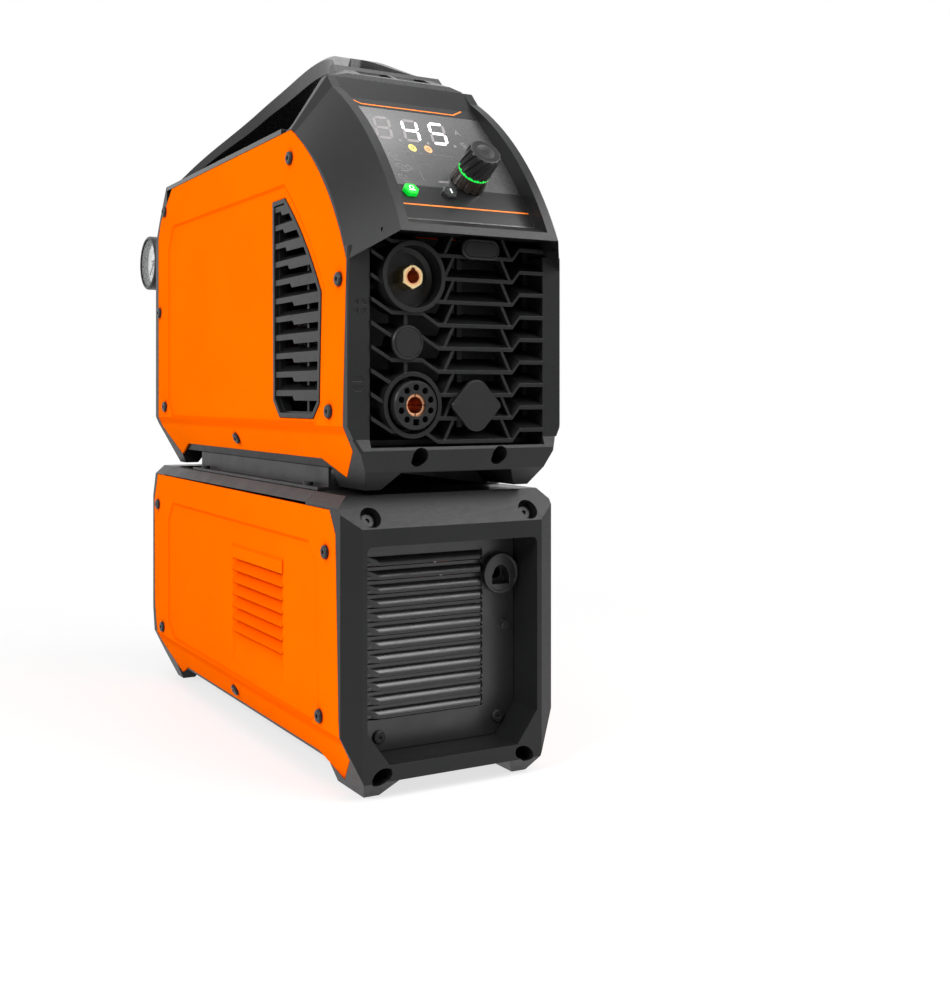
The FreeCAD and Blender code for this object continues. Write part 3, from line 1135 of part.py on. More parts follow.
def compressor_pump():
    """Oil-free pump: crankcase, finned cylinder, head and outlet elbow."""
    x, z = motor_x, motor_z
    case = block((x - 27.0, x + 27.0), (120.0, 177.7), (z - 32.0, z + 30.0))
    case = case.makeFillet(8.0, [e for e in case.Edges if e.BoundBox.YLength > 50.0])
    cylinder = rod(17.0, (x, 148.0, z + 28.0), (0, 0, 1), 32.0)
    fins = [rod(26.0, (x, 148.0, z + 33.0 + 4.4 * i), (0, 0, 1), 1.8) for i in range(6)]
    head = block((x - 25.0, x + 25.0), (124.0, 172.0), (z + 59.0, z + 72.0))
    elbow = rod(6.0, (x + 14.0, 112.0, z + 65.5), (0, 1, 0), 14.0)
    bore = rod(shaft_r + running_fit, (x, 168.0, z), (0, 1, 0), 20.0)
    return joined(case, [cylinder, head, elbow] + fins).cut([bore])


def compressor_fan():
    """Motor shaft with the cooling fan on its rear end and the crank end in the pump."""
    wheel = rotor(32.0, 10.0, 14.0, 6, shaft_r - 1.0, 6.0)
    wheel.translate(V(motor_x, 286.0, motor_z))
    return joined(wheel, [rod(shaft_r, (motor_x, 170.0, motor_z), (0, 1, 0), 126.0)])


def motor_bracket():
    """Folded cradle plate under the motor and the pump."""
    x, z = motor_x, motor_z
    plate = block((x - 46.0, x + 46.0), (116.0, 282.0), (26.0, 28.0))
    wings = [block((x + s * 45.0 - 1.0, x + s * 45.0 + 1.0), (116.0, 282.0), (26.0, 44.0)) for s in (-1, 1)]
    pillars = [block((x - 16.0, x + 16.0), (196.0, 260.0), (27.9, z - 33.0)),
               block((x - 20.0, x + 20.0), (126.0, 170.0), (27.9, z - 32.0 - seat))]
    cradle = rod(36.0 + seat, (x, 190.0, z), (0, 1, 0), 80.0)
    return joined(plate, wings + pillars).cut(cradle)


def rubber_mounts():
    """Four rubber buffers between the cradle plate and the base."""
    x = motor_x
    mounts = []
    for dx in (-34.0, 34.0):
        for y in (128.0, 270.0):
            waist = [(0.0, 14.0), (8.0, 14.0), (6.0, 19.8, 8.0, 25.6), (0.0, 25.6)]
            wire = outline(waist, lambda r, h: V(x + dx + r, y, h))
            mounts.append(Part.Face(wire).revolve(V(x + dx, y, 0), V(0, 0, 1), 360))
    return Part.makeCompound(mounts)


def air_hose():
    """Delivery hose from the pump head to the outlet bushing."""
    x, z = motor_x, motor_z
    start = V(x + 14.0, 111.7, z + 65.5)
    end = V(outlet_at[0], outlet_seat_y + 19.0, outlet_at[1])
    curve = Part.BSplineCurve()
    curve.interpolate(Points=[start, V(x + 20.0, 92.0, z + 62.0), V(36.0, 70.0, 140.0), end],
                      InitialTangent=V(0, -1, 0), FinalTangent=V(0, -1, 0))
    spine = Part.Wire(curve.toShape())
    ring = Part.Wire(Part.makeCircle(5.0, start, V(0, -1, 0)))
    return spine.makePipeShell([ring], True, True)


# ---- joining the two modules ---------------------------------------------------------------------
def upper_tray():
    """Base of the power source: tapped holes for the joining rails, board posts and a baffle to the front."""
    holes = [rod(2.0, (bracket_screw_x[1], y, 0.0), (0, 0, 1), 20.0) for y in bracket_screw_y]
    base = tray(48.0 + seat, rear_face - 32.0 - seat, upper_screws).cut(both_ways(holes))
    baffle = prism_y([(-58.0, tray_z + 0.5), (58.0, tray_z + 0.5), (68.5, 45.0), (68.5, 165.0),
                      (-68.5, 165.0),
                      (-68.5, 45.0)], 48.0 + 2.0 * seat, 50.2)
    posts = [rod(4.0, (x, y, tray_z + 0.5), (0, 0, 1), board_z - seat - tray_z - 0.5) for x,
             y in board_posts]
    pegs = [rod(2.0, (x, y, tray_z + 0.5), (0, 0, 1), board_z + 4.0 - tray_z) for x, y in board_posts]
    return joined(base, posts + pegs + [baffle])


def joining_brackets():
    """Two folded rails that tie the power source to the compressor's top cover."""
    low = box_top + seat
    high = upper_base_z + tray_z - seat
    steps = [(61.0, low), (71.0, low), (71.0, low + 2.0), (63.0, low + 2.0), (63.0, high), (48.0, high),
             (48.0, high - 2.0), (61.0, high - 2.0)]
    rail = prism_y(steps, *bracket_y)
    rail = rail.cut([rod(2.1, (bracket_screw_x[0], y, low - 1.0), (0, 0, 1), 5.0) for y in bracket_screw_y])
    rail = rail.cut([rod(2.1, (bracket_screw_x[1], y, high - 4.0), (0, 0, 1), 5.0) for y in bracket_screw_y])
    return Part.makeCompound([rail, mirrored(rail)])


def bracket_screws():
    """Screws of the joining rails, into the compressor cover and up into the power source."""
    low = box_top + seat
    high = upper_base_z + tray_z - seat
    outer, inner = bracket_screw_x
    group = []
    for y in bracket_screw_y:
        head_down = rod(3.4, (outer, y, low + 2.0), (0, 0, 1), 2.2)
        head_up = rod(3.4, (inner, y, high - 4.2), (0, 0, 1), 2.2)
        group.append(joined(head_down, [rod(1.9, (outer, y, low - 5.0), (0, 0, 1), 8.0)]))
        group.append(joined(head_up, [rod(1.9, (inner, y, high - 3.0), (0, 0, 1), 7.0)]))
    return Part.makeCompound(both_ways(group))


def cowl_screws():
    """Recessed screws in the slanted facet of the compressor's front."""
    group = []
    axis = V(*brow_axis)
    axis.normalize()
    for side in (-1.0, 1.0):
        start = V(side * brow_screw[0], brow_screw[1],
                  brow_screw[2]) + axis * (brow_face + brow_pocket_depth - 2.42)
        head = Part.makeCylinder(4.2, 2.4, start, axis)
        shank = Part.makeCylinder(2.0, 16.0, start + axis * 2.0, axis)
        cross = Part.makeCylinder(1.5, 1.4, start, axis)
        group.append(joined(head, [shank]).cut(cross))
    return group


def louvre_screws():
    """Pan head screws of the louvre plate."""
    group = []
    for x, z in plate_screws:
        head = rod(4.4, (x, recess_depth - plate_thick - 2.0, z), (0, 1, 0), 2.0)
        head = head.makeFillet(1.1,
                               [e for e in head.Edges if e.BoundBox.YMax < recess_depth - plate_thick - 1.0])
        shank = rod(1.85, (x, recess_depth - plate_thick - 0.1, z), (0, 1, 0), 9.0)
        cross = rod(1.4, (x, recess_depth - plate_thick - 3.0, z), (0, 1, 0), 2.2)
        group.append(joined(head, [shank]).cut(cross))
    return group


# ---- export --------------------------------------------------------------------------------------
def finish(name, shape, lift):
    """Move one piece into the common frame and write its STEP file."""
    back = -(crest_low[0] + gauge_at[0] + gauge_r) / 2.0
    placed = shape.copy()
    placed.translate(V(0.0, back, lift))
    solids = placed.Solids
    whole = solids[0] if len(solids) == 1 else Part.makeCompound(solids)
    whole.exportStep("parts/" + name + ".step")


def power_source():
    """All pieces of the upper module by name."""
    round_cover, diamond_cover, oval_cover = blanking_covers()
    knob_skirt, knob_ring, knob_cap = knob_pieces()
    switch_body, switch_rocker = power_switch()
    gauge_case, gauge_dial, gauge_needle, gauge_lens = gauge_pieces()
    panel = upper_side_panel()
    vent = side_vent()
    return {
        "front_cowl": front_cowl(), "front_grille": front_grille(), "display_lens": display_lens(),
        "display_board": display_board(), "knob_skirt": knob_skirt, "knob_light_ring": knob_ring,
        "knob_cap": knob_cap, "green_button": push_button(button_at[0]),
        "dark_button": push_button(button_at[1]), "earth_socket_sleeve": earth_socket_sleeve(),
        "earth_socket_contact": earth_socket_contact(), "torch_socket_body": torch_socket_body(),
        "torch_socket_contact": torch_socket_contact(), "round_blank": round_cover,
        "diamond_blank": diamond_cover, "oval_blank": oval_cover, "right_side_panel": panel,
        "left_side_panel": mirrored(panel), "right_vent_grille": vent, "left_vent_grille": mirrored(vent),
        "side_screws": both_sides(upper_screws), "carry_handle": carry_handle(),
        "rear_cover": rear_cover(), "base_tray": upper_tray(),
        "power_board": power_board(), "heat_sink": heat_sink(), "transformer": transformer(),
        "capacitors": capacitors(), "solenoid_valve": solenoid_valve(), "fan_frame": fan_frame(),
        "fan_rotor": fan_rotor(), "switch_body": switch_body, "switch_rocker": switch_rocker,
        "cable_gland": cable_gland(), "regulator_body": regulator_body(),
        "regulator_knob": regulator_knob(), "filter_bowl": filter_bowl(), "gauge_case": gauge_case,
        "gauge_dial": gauge_dial, "gauge_needle": gauge_needle, "gauge_lens": gauge_lens,
    }


def compressor():
    """All pieces of the lower module by name."""
    panel = lower_side_panel()
    return {
        "lower_front_cowl": lower_front_cowl(), "louvre_panel": louvre_panel(),
        "outlet_bushing": outlet_bushing(),
        "front_screws": Part.makeCompound(cowl_screws() + louvre_screws()),
        "lower_right_panel": panel, "lower_left_panel": mirrored(panel),
        "lower_side_screws": both_sides(lower_screws), "lower_top_cover": lower_top_cover(),
        "lower_rear_cover": lower_rear_cover(), "lower_base_tray": tray(46.0 + seat, lower_rear - 32.0,
                                                                        lower_screws),
        "compressor_motor": compressor_motor(), "compressor_pump": compressor_pump(),
        "compressor_fan": compressor_fan(), "motor_bracket": motor_bracket(),
        "rubber_mounts": rubber_mounts(), "air_hose": air_hose(), "rubber_feet": rubber_feet(),
        "joining_brackets": joining_brackets(), "bracket_screws": bracket_screws(),
    }


os.makedirs("parts", exist_ok=True)
for node, piece in power_source().items():
    finish(node, piece, upper_base_z)
for node, piece in compressor().items():
    finish(node, piece, 0.0)
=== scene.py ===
"""Looks of the plasma cutter unit: finishes, display, dial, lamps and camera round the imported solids.

Lengths are in metres in the row frame; MM turns millimetres into metres. The solids come from the
frame, and everything drawn here takes its place from their boxes, faces and joints.
"""

import json
import math

import bmesh
import bpy
from mathutils import Matrix, Vector
from mathutils.bvhtree import BVHTree


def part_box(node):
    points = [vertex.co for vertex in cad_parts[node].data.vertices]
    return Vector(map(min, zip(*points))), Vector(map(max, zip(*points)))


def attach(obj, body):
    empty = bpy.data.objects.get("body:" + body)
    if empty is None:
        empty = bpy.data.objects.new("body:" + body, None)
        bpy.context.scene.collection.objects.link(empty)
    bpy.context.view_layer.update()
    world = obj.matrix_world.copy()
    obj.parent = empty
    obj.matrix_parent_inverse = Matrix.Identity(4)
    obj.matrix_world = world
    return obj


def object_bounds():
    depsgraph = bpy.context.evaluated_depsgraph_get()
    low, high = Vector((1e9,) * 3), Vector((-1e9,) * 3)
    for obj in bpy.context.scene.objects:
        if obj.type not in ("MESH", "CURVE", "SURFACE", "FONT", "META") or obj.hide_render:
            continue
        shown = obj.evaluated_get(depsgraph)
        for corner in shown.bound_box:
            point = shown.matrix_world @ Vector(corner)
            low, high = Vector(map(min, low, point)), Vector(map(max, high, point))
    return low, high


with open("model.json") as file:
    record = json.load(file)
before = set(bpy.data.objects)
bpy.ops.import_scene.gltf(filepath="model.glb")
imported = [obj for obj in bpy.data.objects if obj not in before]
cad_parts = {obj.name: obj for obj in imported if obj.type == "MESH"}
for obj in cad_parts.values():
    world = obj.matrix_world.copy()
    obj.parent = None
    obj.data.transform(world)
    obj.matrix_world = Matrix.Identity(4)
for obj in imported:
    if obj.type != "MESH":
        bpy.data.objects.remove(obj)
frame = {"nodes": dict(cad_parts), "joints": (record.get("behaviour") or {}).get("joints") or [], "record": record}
nodes = frame["nodes"]
cad_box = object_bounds()

MM = 0.001
joints = {j["name"]: j for j in frame["joints"]}


# ---- node helpers --------------------------------------------------------------------------------
class Recipe:
    """A material's node tree with short ways to add and join nodes."""

    def __init__(self, name, colour, rough, metal=0.0, specular=0.5):
        self.material = bpy.data.materials.new(name)
        self.material.use_nodes = True
        self.tree = self.material.node_tree
        self.shader = self.tree.nodes["Principled BSDF"]
        self.place = self.tree.nodes.new("ShaderNodeTexCoord").outputs["Object"]
        self.put("Base Color", (*colour, 1.0))
        self.put("Roughness", rough)
        self.put("Metallic", metal)
        self.put("Specular IOR Level", specular)
        self.material.diffuse_color = (*colour, 1.0)

    def put(self, name, value):
        """Set a socket of the shader, or join something to it."""
        self.feed(self.shader.inputs[name], value)

    def feed(self, socket, value):
        if isinstance(value, bpy.types.NodeSocket):
            self.tree.links.new(value, socket)
        else:
            socket.default_value = value

    def add(self, kind, settings=(), **inputs):
        made = self.tree.nodes.new("ShaderNode" + kind)
        for name, value in dict(settings).items():
            setattr(made, name, value)
        for name, value in inputs.items():
            key = int(name[1:]) if name[0] == "i" and name[1:].isdigit() else name.replace("_", " ")
            self.feed(made.inputs[key], value)
        return made

    def noise(self, size, detail=3.0, rough=0.55, stretch=None):
        """Noise whose features are about size metres across."""
        place = self.place
        if stretch:
            place = self.add("Mapping", Vector=place, Scale=stretch).outputs[0]
        return self.add("TexNoise", Vector=place, Scale=1.0 / size, Detail=detail,
                        Roughness=rough).outputs["Fac"]

    def spread(self, value, low, high, to_low, to_high):
        """Map a value from one span to another, clamped."""
        return self.add("MapRange", Value=value, From_Min=low, From_Max=high, To_Min=to_low,
                        To_Max=to_high).outputs[0]

    def mix(self, share, first, second, blend="MIX"):
        """Colour mix; first and second are colours or sockets."""
        made = self.add("Mix", {"data_type": "RGBA", "blend_type": blend})
        self.feed(made.inputs[0], share)
        self.feed(made.inputs[6], first)
        self.feed(made.inputs[7], second)
        return made.outputs[2]

    def maths(self, how, first, second=0.0):
        return self.add("Math", {"operation": how}, i0=first, i1=second).outputs[0]

    def rounded(self, radius):
        """Normal as if every edge had this radius, and how near an edge the point is."""
        normal = self.add("Bevel", {"samples": 6}, Radius=radius).outputs[0]
        flat = self.add("NewGeometry").outputs["Normal"]
        dot = self.add("VectorMath", {"operation": "DOT_PRODUCT"}, i0=normal, i1=flat).outputs["Value"]
        return normal, self.spread(dot, 0.985, 0.86, 0.0, 1.0)

    def bump(self, height, depth, normal=None):
        made = self.add("Bump", Strength=1.0, Distance=depth, Height=height)
        if normal is not None:
            self.feed(made.inputs["Normal"], normal)
        self.put("Normal", made.outputs[0])


def shade(colour, factor):
    """The colour made lighter or darker, as RGBA."""
    return tuple(min(1.0, c * factor) for c in colour) + (1.0,)


# ---- finishes ------------------------------------------------------------------------------------
# Painted shade on the orange coat reaches this far round a corner.
crevice_shade_reach = 12.0 * MM    # how far round a point a corner darkens it
# The painted shade on the pressed slopes lies between these distances from the middle.
press_from = 76.2 * MM       # the side panels' pressed slopes lie between these distances from the middle
press_to = 77.4 * MM


def moulded_plastic(name, colour, rough, grain=0.55 * MM, depth=0.02 * MM, edge=0.45 * MM, edge_wear_and_shade=1.9,
                    shine=0.28):
    """Textured moulding: fine spark-eroded grain, soft mottling, edges polished by handling."""
    m = Recipe(name, colour, rough, specular=shine)
    normal, near = m.rounded(edge)
    broad = m.noise(38 * MM, 4.0)
    fine = m.noise(grain, 2.0, 0.7)
    rubbed = m.maths("MULTIPLY", near, m.spread(m.noise(9 * MM, 3.0), 0.35, 0.65, 0.15, 0.8))
    tint = m.mix(m.spread(broad, 0.3, 0.7, 0.0, 1.0), shade(colour, 0.86), shade(colour, 1.16))
    speck = m.mix(m.spread(fine, 0.35, 0.7, 0.0, 0.22), tint, shade(colour, 1.6))
    m.put("Base Color", m.mix(rubbed, speck, shade(colour, edge_wear_and_shade)))
    scuffs = m.spread(m.noise(5 * MM, 5.0, 0.7, (1.0, 1.0, 3.0)), 0.42, 0.75, -0.03, 0.07)
    m.put("Roughness", m.maths("SUBTRACT", m.maths("ADD", scuffs, rough), m.maths("MULTIPLY", rubbed, 0.12)))
    m.bump(fine, depth, normal)
    return m.material


def powder_coat(name, colour, rough, orange_peel=0.012 * MM, edge_wear_and_shade=1.12, edge=0.5 * MM, shine=0.45,
                crevice_shade=None, slope_shade=None):
    """Sprayed and baked paint: fine orange peel, faint cloudiness, edges toned by one factor: above 1 they are
    lighter where the paint has worn down, below 1 they are darker as a painted shade along the pressed borders.

    Two painted shades can be added: deep red in narrow corners found by ambient occlusion (crevice_shade), and
    darker red-orange on the pressed slopes of the side panels (slope_shade).
    """
    m = Recipe(name, colour, rough, specular=shine)
    normal, near = m.rounded(edge)
    cloud = m.noise(70 * MM, 3.0)
    peel = m.noise(1.1 * MM, 2.0, 0.5)
    dust = m.noise(0.35 * MM, 1.0, 0.5)
    tint = m.mix(m.spread(cloud, 0.3, 0.7, 0.0, 1.0), shade(colour, 0.95), shade(colour, 1.03))
    # Edges: above 1 the factor lightens them where the paint has worn down; below 1, as on the orange coat, the
    # darker edge lines are painted shade.
    thin_edges_and_shade = m.mix(m.maths("MULTIPLY", near, 0.45), tint, shade(colour, edge_wear_and_shade))
    coat = m.mix(m.spread(dust, 0.62, 0.75, 0.0, 0.1), thin_edges_and_shade, shade(colour, 0.8))
    if crevice_shade:
        open_sky = m.add("AmbientOcclusion", {"samples": 16}, Distance=crevice_shade_reach).outputs["AO"]
        # Painted shade: faces on the pressed slopes, tilted out of the panel's plane, turn a darker red-orange.
        across = m.add("SeparateXYZ", Vector=m.add("NewGeometry").outputs["Normal"]).outputs["X"]
        outward = m.maths("ABSOLUTE", m.add("SeparateXYZ", Vector=m.place).outputs["X"])
        pressed = m.spread(outward, press_from, press_to, 0.0, 0.6)
        tilt = m.maths("MULTIPLY", m.spread(m.maths("ABSOLUTE", across), 0.9985, 0.93, 0.0, 1.0), pressed)
        coat = m.mix(tilt, coat, (*slope_shade, 1.0))
        # Painted shade: the coat turns deep red where ambient occlusion finds a corner close by.
        coat = m.mix(m.spread(open_sky, 0.62, 0.985, 1.0, 0.0), coat, (*crevice_shade, 1.0))
    m.put("Base Color", coat)
    m.put("Roughness", m.maths("ADD", m.spread(m.noise(16 * MM, 4.0), 0.3, 0.7, -0.05, 0.06), rough))
    m.bump(m.maths("ADD", peel, m.maths("MULTIPLY", dust, 0.4)), orange_peel, normal)
    return m.material


def machined_metal(name, colour, rough, bore=None):
    """Metal with fine marks along Y, light staining and brighter edges.

    A bore can have its own tone: it is a centre on its axis along Y, a radius and a colour.
    """
    m = Recipe(name, colour, rough, metal=1.0)
    normal, near = m.rounded(0.3 * MM)
    stain = m.noise(6 * MM, 4.0, 0.6)
    lines = m.noise(0.22 * MM, 2.0, 0.5, (1.0, 0.05, 1.0))
    tint = m.mix(m.spread(stain, 0.35, 0.7, 0.0, 1.0), shade(colour, 1.0), shade(colour, 0.8))
    if bore:
        centre, radius, inside = bore
        spoke = m.add("VectorMath", {"operation": "SUBTRACT"}, i0=m.place, i1=tuple(centre)).outputs[0]
        across = m.add("VectorMath", {"operation": "MULTIPLY"}, i0=spoke, i1=(1.0, 0.0, 1.0)).outputs[0]
        away = m.add("VectorMath", {"operation": "LENGTH"}, i0=across).outputs["Value"]
        tint = m.mix(m.spread(away, radius, radius + 0.3 * MM, 0.0, 1.0), (*inside, 1.0), tint)
    m.put("Base Color", m.mix(m.maths("MULTIPLY", near, 0.7), tint, shade(colour, 1.25)))
    m.put("Roughness", m.maths("ADD", m.spread(stain, 0.3, 0.75, -0.05, 0.14), rough))
    m.bump(lines, 0.006 * MM, normal)
    return m.material


def black_oxide(name):
    """Blackened screws: dark metal with worn bright rims, patchy, with a fine grain."""
    colour = (0.016, 0.016, 0.0175)
    m = Recipe(name, colour, 0.42, metal=0.2, specular=0.35)
    normal, near = m.rounded(0.35 * MM)
    patch = m.noise(1.4 * MM, 3.0)
    m.put("Base Color", m.mix(m.maths("MULTIPLY", near, m.spread(patch, 0.4, 0.7, 0.15, 0.8)),
                              m.mix(patch, shade(colour, 0.8), shade(colour, 1.3)),
                              (0.12, 0.12, 0.125, 1.0)))
    m.put("Roughness", m.spread(patch, 0.3, 0.7, 0.3, 0.46))
    m.bump(m.noise(0.3 * MM, 2.0), 0.006 * MM, normal)
    return m.material


def soft_rubber(name, colour=(0.02, 0.02, 0.021)):
    m = Recipe(name, colour, 0.72, specular=0.35)
    normal = m.rounded(0.5 * MM)[0]
    bloom = m.noise(7 * MM, 4.0)
    m.put("Base Color", m.mix(m.spread(bloom, 0.4, 0.75, 0.0, 0.5), shade(colour, 1.0),
                              (0.06, 0.058, 0.055, 1.0)))
    m.put("Roughness", m.spread(bloom, 0.3, 0.7, 0.66, 0.8))
    m.bump(m.noise(0.5 * MM, 2.0), 0.012 * MM, normal)
    return m.material


def display_glass(name):
    """Smoked display window with a satin coat, faint clouds in its tone and very shallow wipe marks."""
    colour = (0.030, 0.030, 0.031)
    m = Recipe(name, colour, 0.2)
    wipe = m.noise(9.0 * MM, 3.0, 0.5, (0.4, 1.0, 1.0))
    broad = m.noise(30 * MM, 2.0)
    m.put("Base Color", m.mix(m.spread(broad, 0.3, 0.7, 0.0, 1.0), shade(colour, 0.97), shade(colour, 1.04)))
    m.put("Roughness", m.spread(wipe, 0.4, 0.8, 0.272, 0.278))
    m.put("IOR", 2.3)
    m.bump(wipe, 0.00002 * MM)
    return m.material


def gloss_moulding(name, colour, rough=0.16):
    m = Recipe(name, colour, rough)
    normal, near = m.rounded(0.4 * MM)
    haze = m.noise(3 * MM, 4.0)
    m.put("Base Color", m.mix(m.maths("MULTIPLY", near, 0.5),
                              m.mix(haze, shade(colour, 0.85), shade(colour, 1.12)),
                              shade(colour, 1.8)))
    m.put("Roughness", m.spread(haze, 0.35, 0.75, rough * 0.7, rough * 1.7))
    m.bump(m.noise(0.8 * MM, 2.0), 0.003 * MM, normal)
    return m.material


def lit_plastic(name, colour, glow, strength, turning=None, dashes=0):
    """Translucent plastic lit from inside; round a joint's axis the light can be split into dashes."""
    m = Recipe(name, colour, 0.3)
    normal, near = m.rounded(0.6 * MM)
    m.put("Emission Color", (*glow, 1.0))
    haze = m.spread(m.noise(2.2 * MM, 3.0), 0.3, 0.7, 0.75, 1.0)
    core = m.maths("MULTIPLY", m.maths("SUBTRACT", 1.0, m.maths("MULTIPLY", near, 0.45)), haze)
    if dashes:
        axis = Vector(turning["axis"]).normalized()
        first = axis.orthogonal().normalized()
        spoke = m.add("VectorMath", {"operation": "SUBTRACT"}, i0=m.place,
                      i1=tuple(turning["pos_m"])).outputs[0]
        flat = [m.add("VectorMath", {"operation": "DOT_PRODUCT"}, i0=spoke, i1=tuple(way)).outputs["Value"]
                for way in (first, axis.cross(first))]
        wave = m.maths("SINE", m.maths("MULTIPLY", m.maths("ARCTAN2", *flat), float(dashes)))
        core = m.maths("MULTIPLY", core, m.spread(wave, -0.75, -0.55, 0.04, 1.0))
    m.put("Emission Strength", m.maths("MULTIPLY", core, strength))
    m.bump(m.noise(0.7 * MM, 2.0), 0.004 * MM, normal)
    return m.material


def ink(name, colour, glow=0.0, rough=0.5):
    """Printed or lit graphics under the window; the faint glow on the segments and symbols that are not lit and on
    the orange print is painted light.
    """
    m = Recipe(name, colour, rough)
    uneven = m.noise(0.7 * MM, 2.0)
    m.put("Base Color", m.mix(m.spread(uneven, 0.3, 0.75, 0.0, 1.0), shade(colour, 1.0),
                              shade(colour, 0.86)))
    if glow:
        m.put("Emission Color", (*colour, 1.0))
        m.put("Emission Strength", m.spread(uneven, 0.3, 0.7, glow, glow * 0.92))
    m.bump(uneven, 0.002 * MM)
    return m.material


def circuit_board(name):
    """Solder mask with copper tracks showing as lighter lines."""
    colour = (0.012, 0.11, 0.045)
    m = Recipe(name, colour, 0.35)
    grid = m.add("TexBrick", Vector=m.place, Scale=120.0, Mortar_Size=0.012)
    mask = m.mix(m.noise(6 * MM), shade(colour, 0.8), shade(colour, 1.3))
    m.put("Base Color", m.mix(grid.outputs["Fac"], mask, (0.05, 0.3, 0.13, 1.0)))
    m.put("Roughness", m.spread(m.noise(2 * MM), 0.3, 0.7, 0.28, 0.45))
    m.bump(grid.outputs["Fac"], 0.02 * MM)
    return m.material


def clear_plastic(name, tint, alpha, rough=0.06):
    """Clear window or bowl with faint haze."""
    m = Recipe(name, tint, rough)
    haze = m.noise(5 * MM, 4.0)
    m.put("Base Color", m.mix(haze, shade(tint, 0.93), shade(tint, 1.0)))
    m.put("Roughness", m.spread(haze, 0.35, 0.75, rough, rough * 3.0))
    m.put("Alpha", m.spread(haze, 0.35, 0.75, alpha, alpha + 0.08))
    m.bump(m.noise(1.5 * MM), 0.002 * MM)
    m.material.blend_method = "BLEND"
    return m.material


def cast_finish(name, colour, rough=0.5):
    """Shot-blasted die casting."""
    m = Recipe(name, colour, rough, metal=0.9)
    normal, near = m.rounded(0.6 * MM)
    sand = m.noise(0.6 * MM, 3.0, 0.7)
    m.put("Base Color", m.mix(m.maths("MULTIPLY", near, 0.6),
                              m.mix(m.noise(14 * MM), shade(colour, 0.85), shade(colour, 1.1)),
                              shade(colour, 1.3)))
    m.put("Roughness", m.spread(sand, 0.3, 0.7, rough - 0.06, rough + 0.1))
    m.bump(sand, 0.03 * MM, normal)
    return m.material


charcoal = (0.009, 0.0092, 0.0098)
orange = (0.95, 0.150, 0.0)
finishes = {
    "black_plastic": moulded_plastic("charcoal_moulding", charcoal, 0.40),
    # Orange coat: its darker edge lines, deep red corners and darker pressed slopes are painted shade.
    "orange_paint": powder_coat("orange_powder_coat", orange, 0.42, edge_wear_and_shade=0.72, edge=0.9 * MM, shine=0.0,
                                crevice_shade=(0.78, 0.045, 0.0), slope_shade=(0.86, 0.085, 0.0)),
    "black_paint": powder_coat("black_powder_coat", (0.016, 0.016, 0.017), 0.5, 0.03 * MM, 2.2),
    "black_fittings": moulded_plastic("black_fitting", (0.012, 0.012, 0.0125), 0.38, 0.4 * MM, 0.008 * MM),
    "gloss_black": display_glass("smoked_display_glass"),
    "green_button": lit_plastic("lit_green_button", (0.0, 0.42, 0.02), (0.0, 1.0, 0.05), 0.62),
    "knob_plastic": moulded_plastic("knob_moulding", (0.018, 0.018, 0.019), 0.33, 0.35 * MM, 0.008 * MM,
                                    0.3 * MM, 2.4),
    "light_ring": lit_plastic("lit_green_ring", (0.02, 0.5, 0.06), (0.0, 1.0, 0.08), 1.2,
                              joints["current_knob_turn"], 32),
    "brass": machined_metal("turned_brass", (0.95, 0.74, 0.34), 0.34),
    "copper": machined_metal("turned_copper", (0.95, 0.46, 0.25), 0.32),
    "black_steel": black_oxide("black_screws"),
    "circuit_board": circuit_board("circuit_board"),
    "aluminium": cast_finish("die_cast_aluminium", (0.62, 0.63, 0.65), 0.42),
    "ferrite": moulded_plastic("ferrite_core", (0.07, 0.068, 0.066), 0.6),
    "capacitor_sleeve": gloss_moulding("capacitor_sleeve", (0.02, 0.04, 0.16), 0.3),
    "valve_body": gloss_moulding("valve_moulding", (0.5, 0.48, 0.4), 0.35),
    "clear_bowl": clear_plastic("filter_bowl_polycarbonate", (0.80, 0.86, 0.88), 0.42),
    "gauge_glass": clear_plastic("gauge_window", (0.95, 0.97, 0.98), 0.10, 0.03),
    "gauge_white": ink("gauge_dial_print", (0.82, 0.83, 0.83), rough=0.55),
    "needle": gloss_moulding("needle_lacquer", (0.02, 0.02, 0.02), 0.3),
    "motor_steel": powder_coat("motor_can_paint", (0.14, 0.14, 0.15), 0.45, 0.02 * MM, 1.6),
    "rubber": soft_rubber("rubber"),
}
earth_centre = (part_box("earth_socket_contact")[0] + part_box("earth_socket_contact")[1]) / 2.0
special = {
    "earth_socket_contact": machined_metal("brass_hexagon", (1.0, 0.76, 0.40), 0.36,
                                           bore=(earth_centre, 5.2 * MM, (0.95, 0.45, 0.22))),
    "carry_handle": moulded_plastic("handle_moulding", charcoal, 0.30, 0.4 * MM, 0.004 * MM, shine=0.7),
    "switch_rocker": gloss_moulding("rocker_gloss", (0.02, 0.02, 0.02), 0.2),
    "dark_button": gloss_moulding("dark_button_gloss", (0.03, 0.03, 0.032), 0.25),
    "louvre_panel": powder_coat("louvre_plate_coat", (0.013, 0.013, 0.014), 0.32, 0.004 * MM, 1.5,
                                shine=0.75),
    "knob_skirt": gloss_moulding("knob_skirt_smoked", (0.028, 0.022, 0.018), 0.22),
}
slot_of = {part["node"]: part["material_slot"] for part in frame["record"]["subparts"]}


def dress(node):
    """Give a CAD node its finish."""
    piece = nodes[node]
    piece.data.materials.clear()
    piece.data.materials.append(special.get(node, finishes[slot_of[node]]))


for node in nodes:
    dress(node)


# ---- drawing on the display window ---------------------------------------------------------------
def surface_of(*names):
    """Ray-castable copy of some nodes."""
    points = []
    faces = []
    for name in names:
        start = len(points)
        mesh = nodes[name].data
        points += [v.co.copy() for v in mesh.vertices]
        faces += [[start + i for i in p.vertices] for p in mesh.polygons]
    return BVHTree.FromPolygons(points, faces)


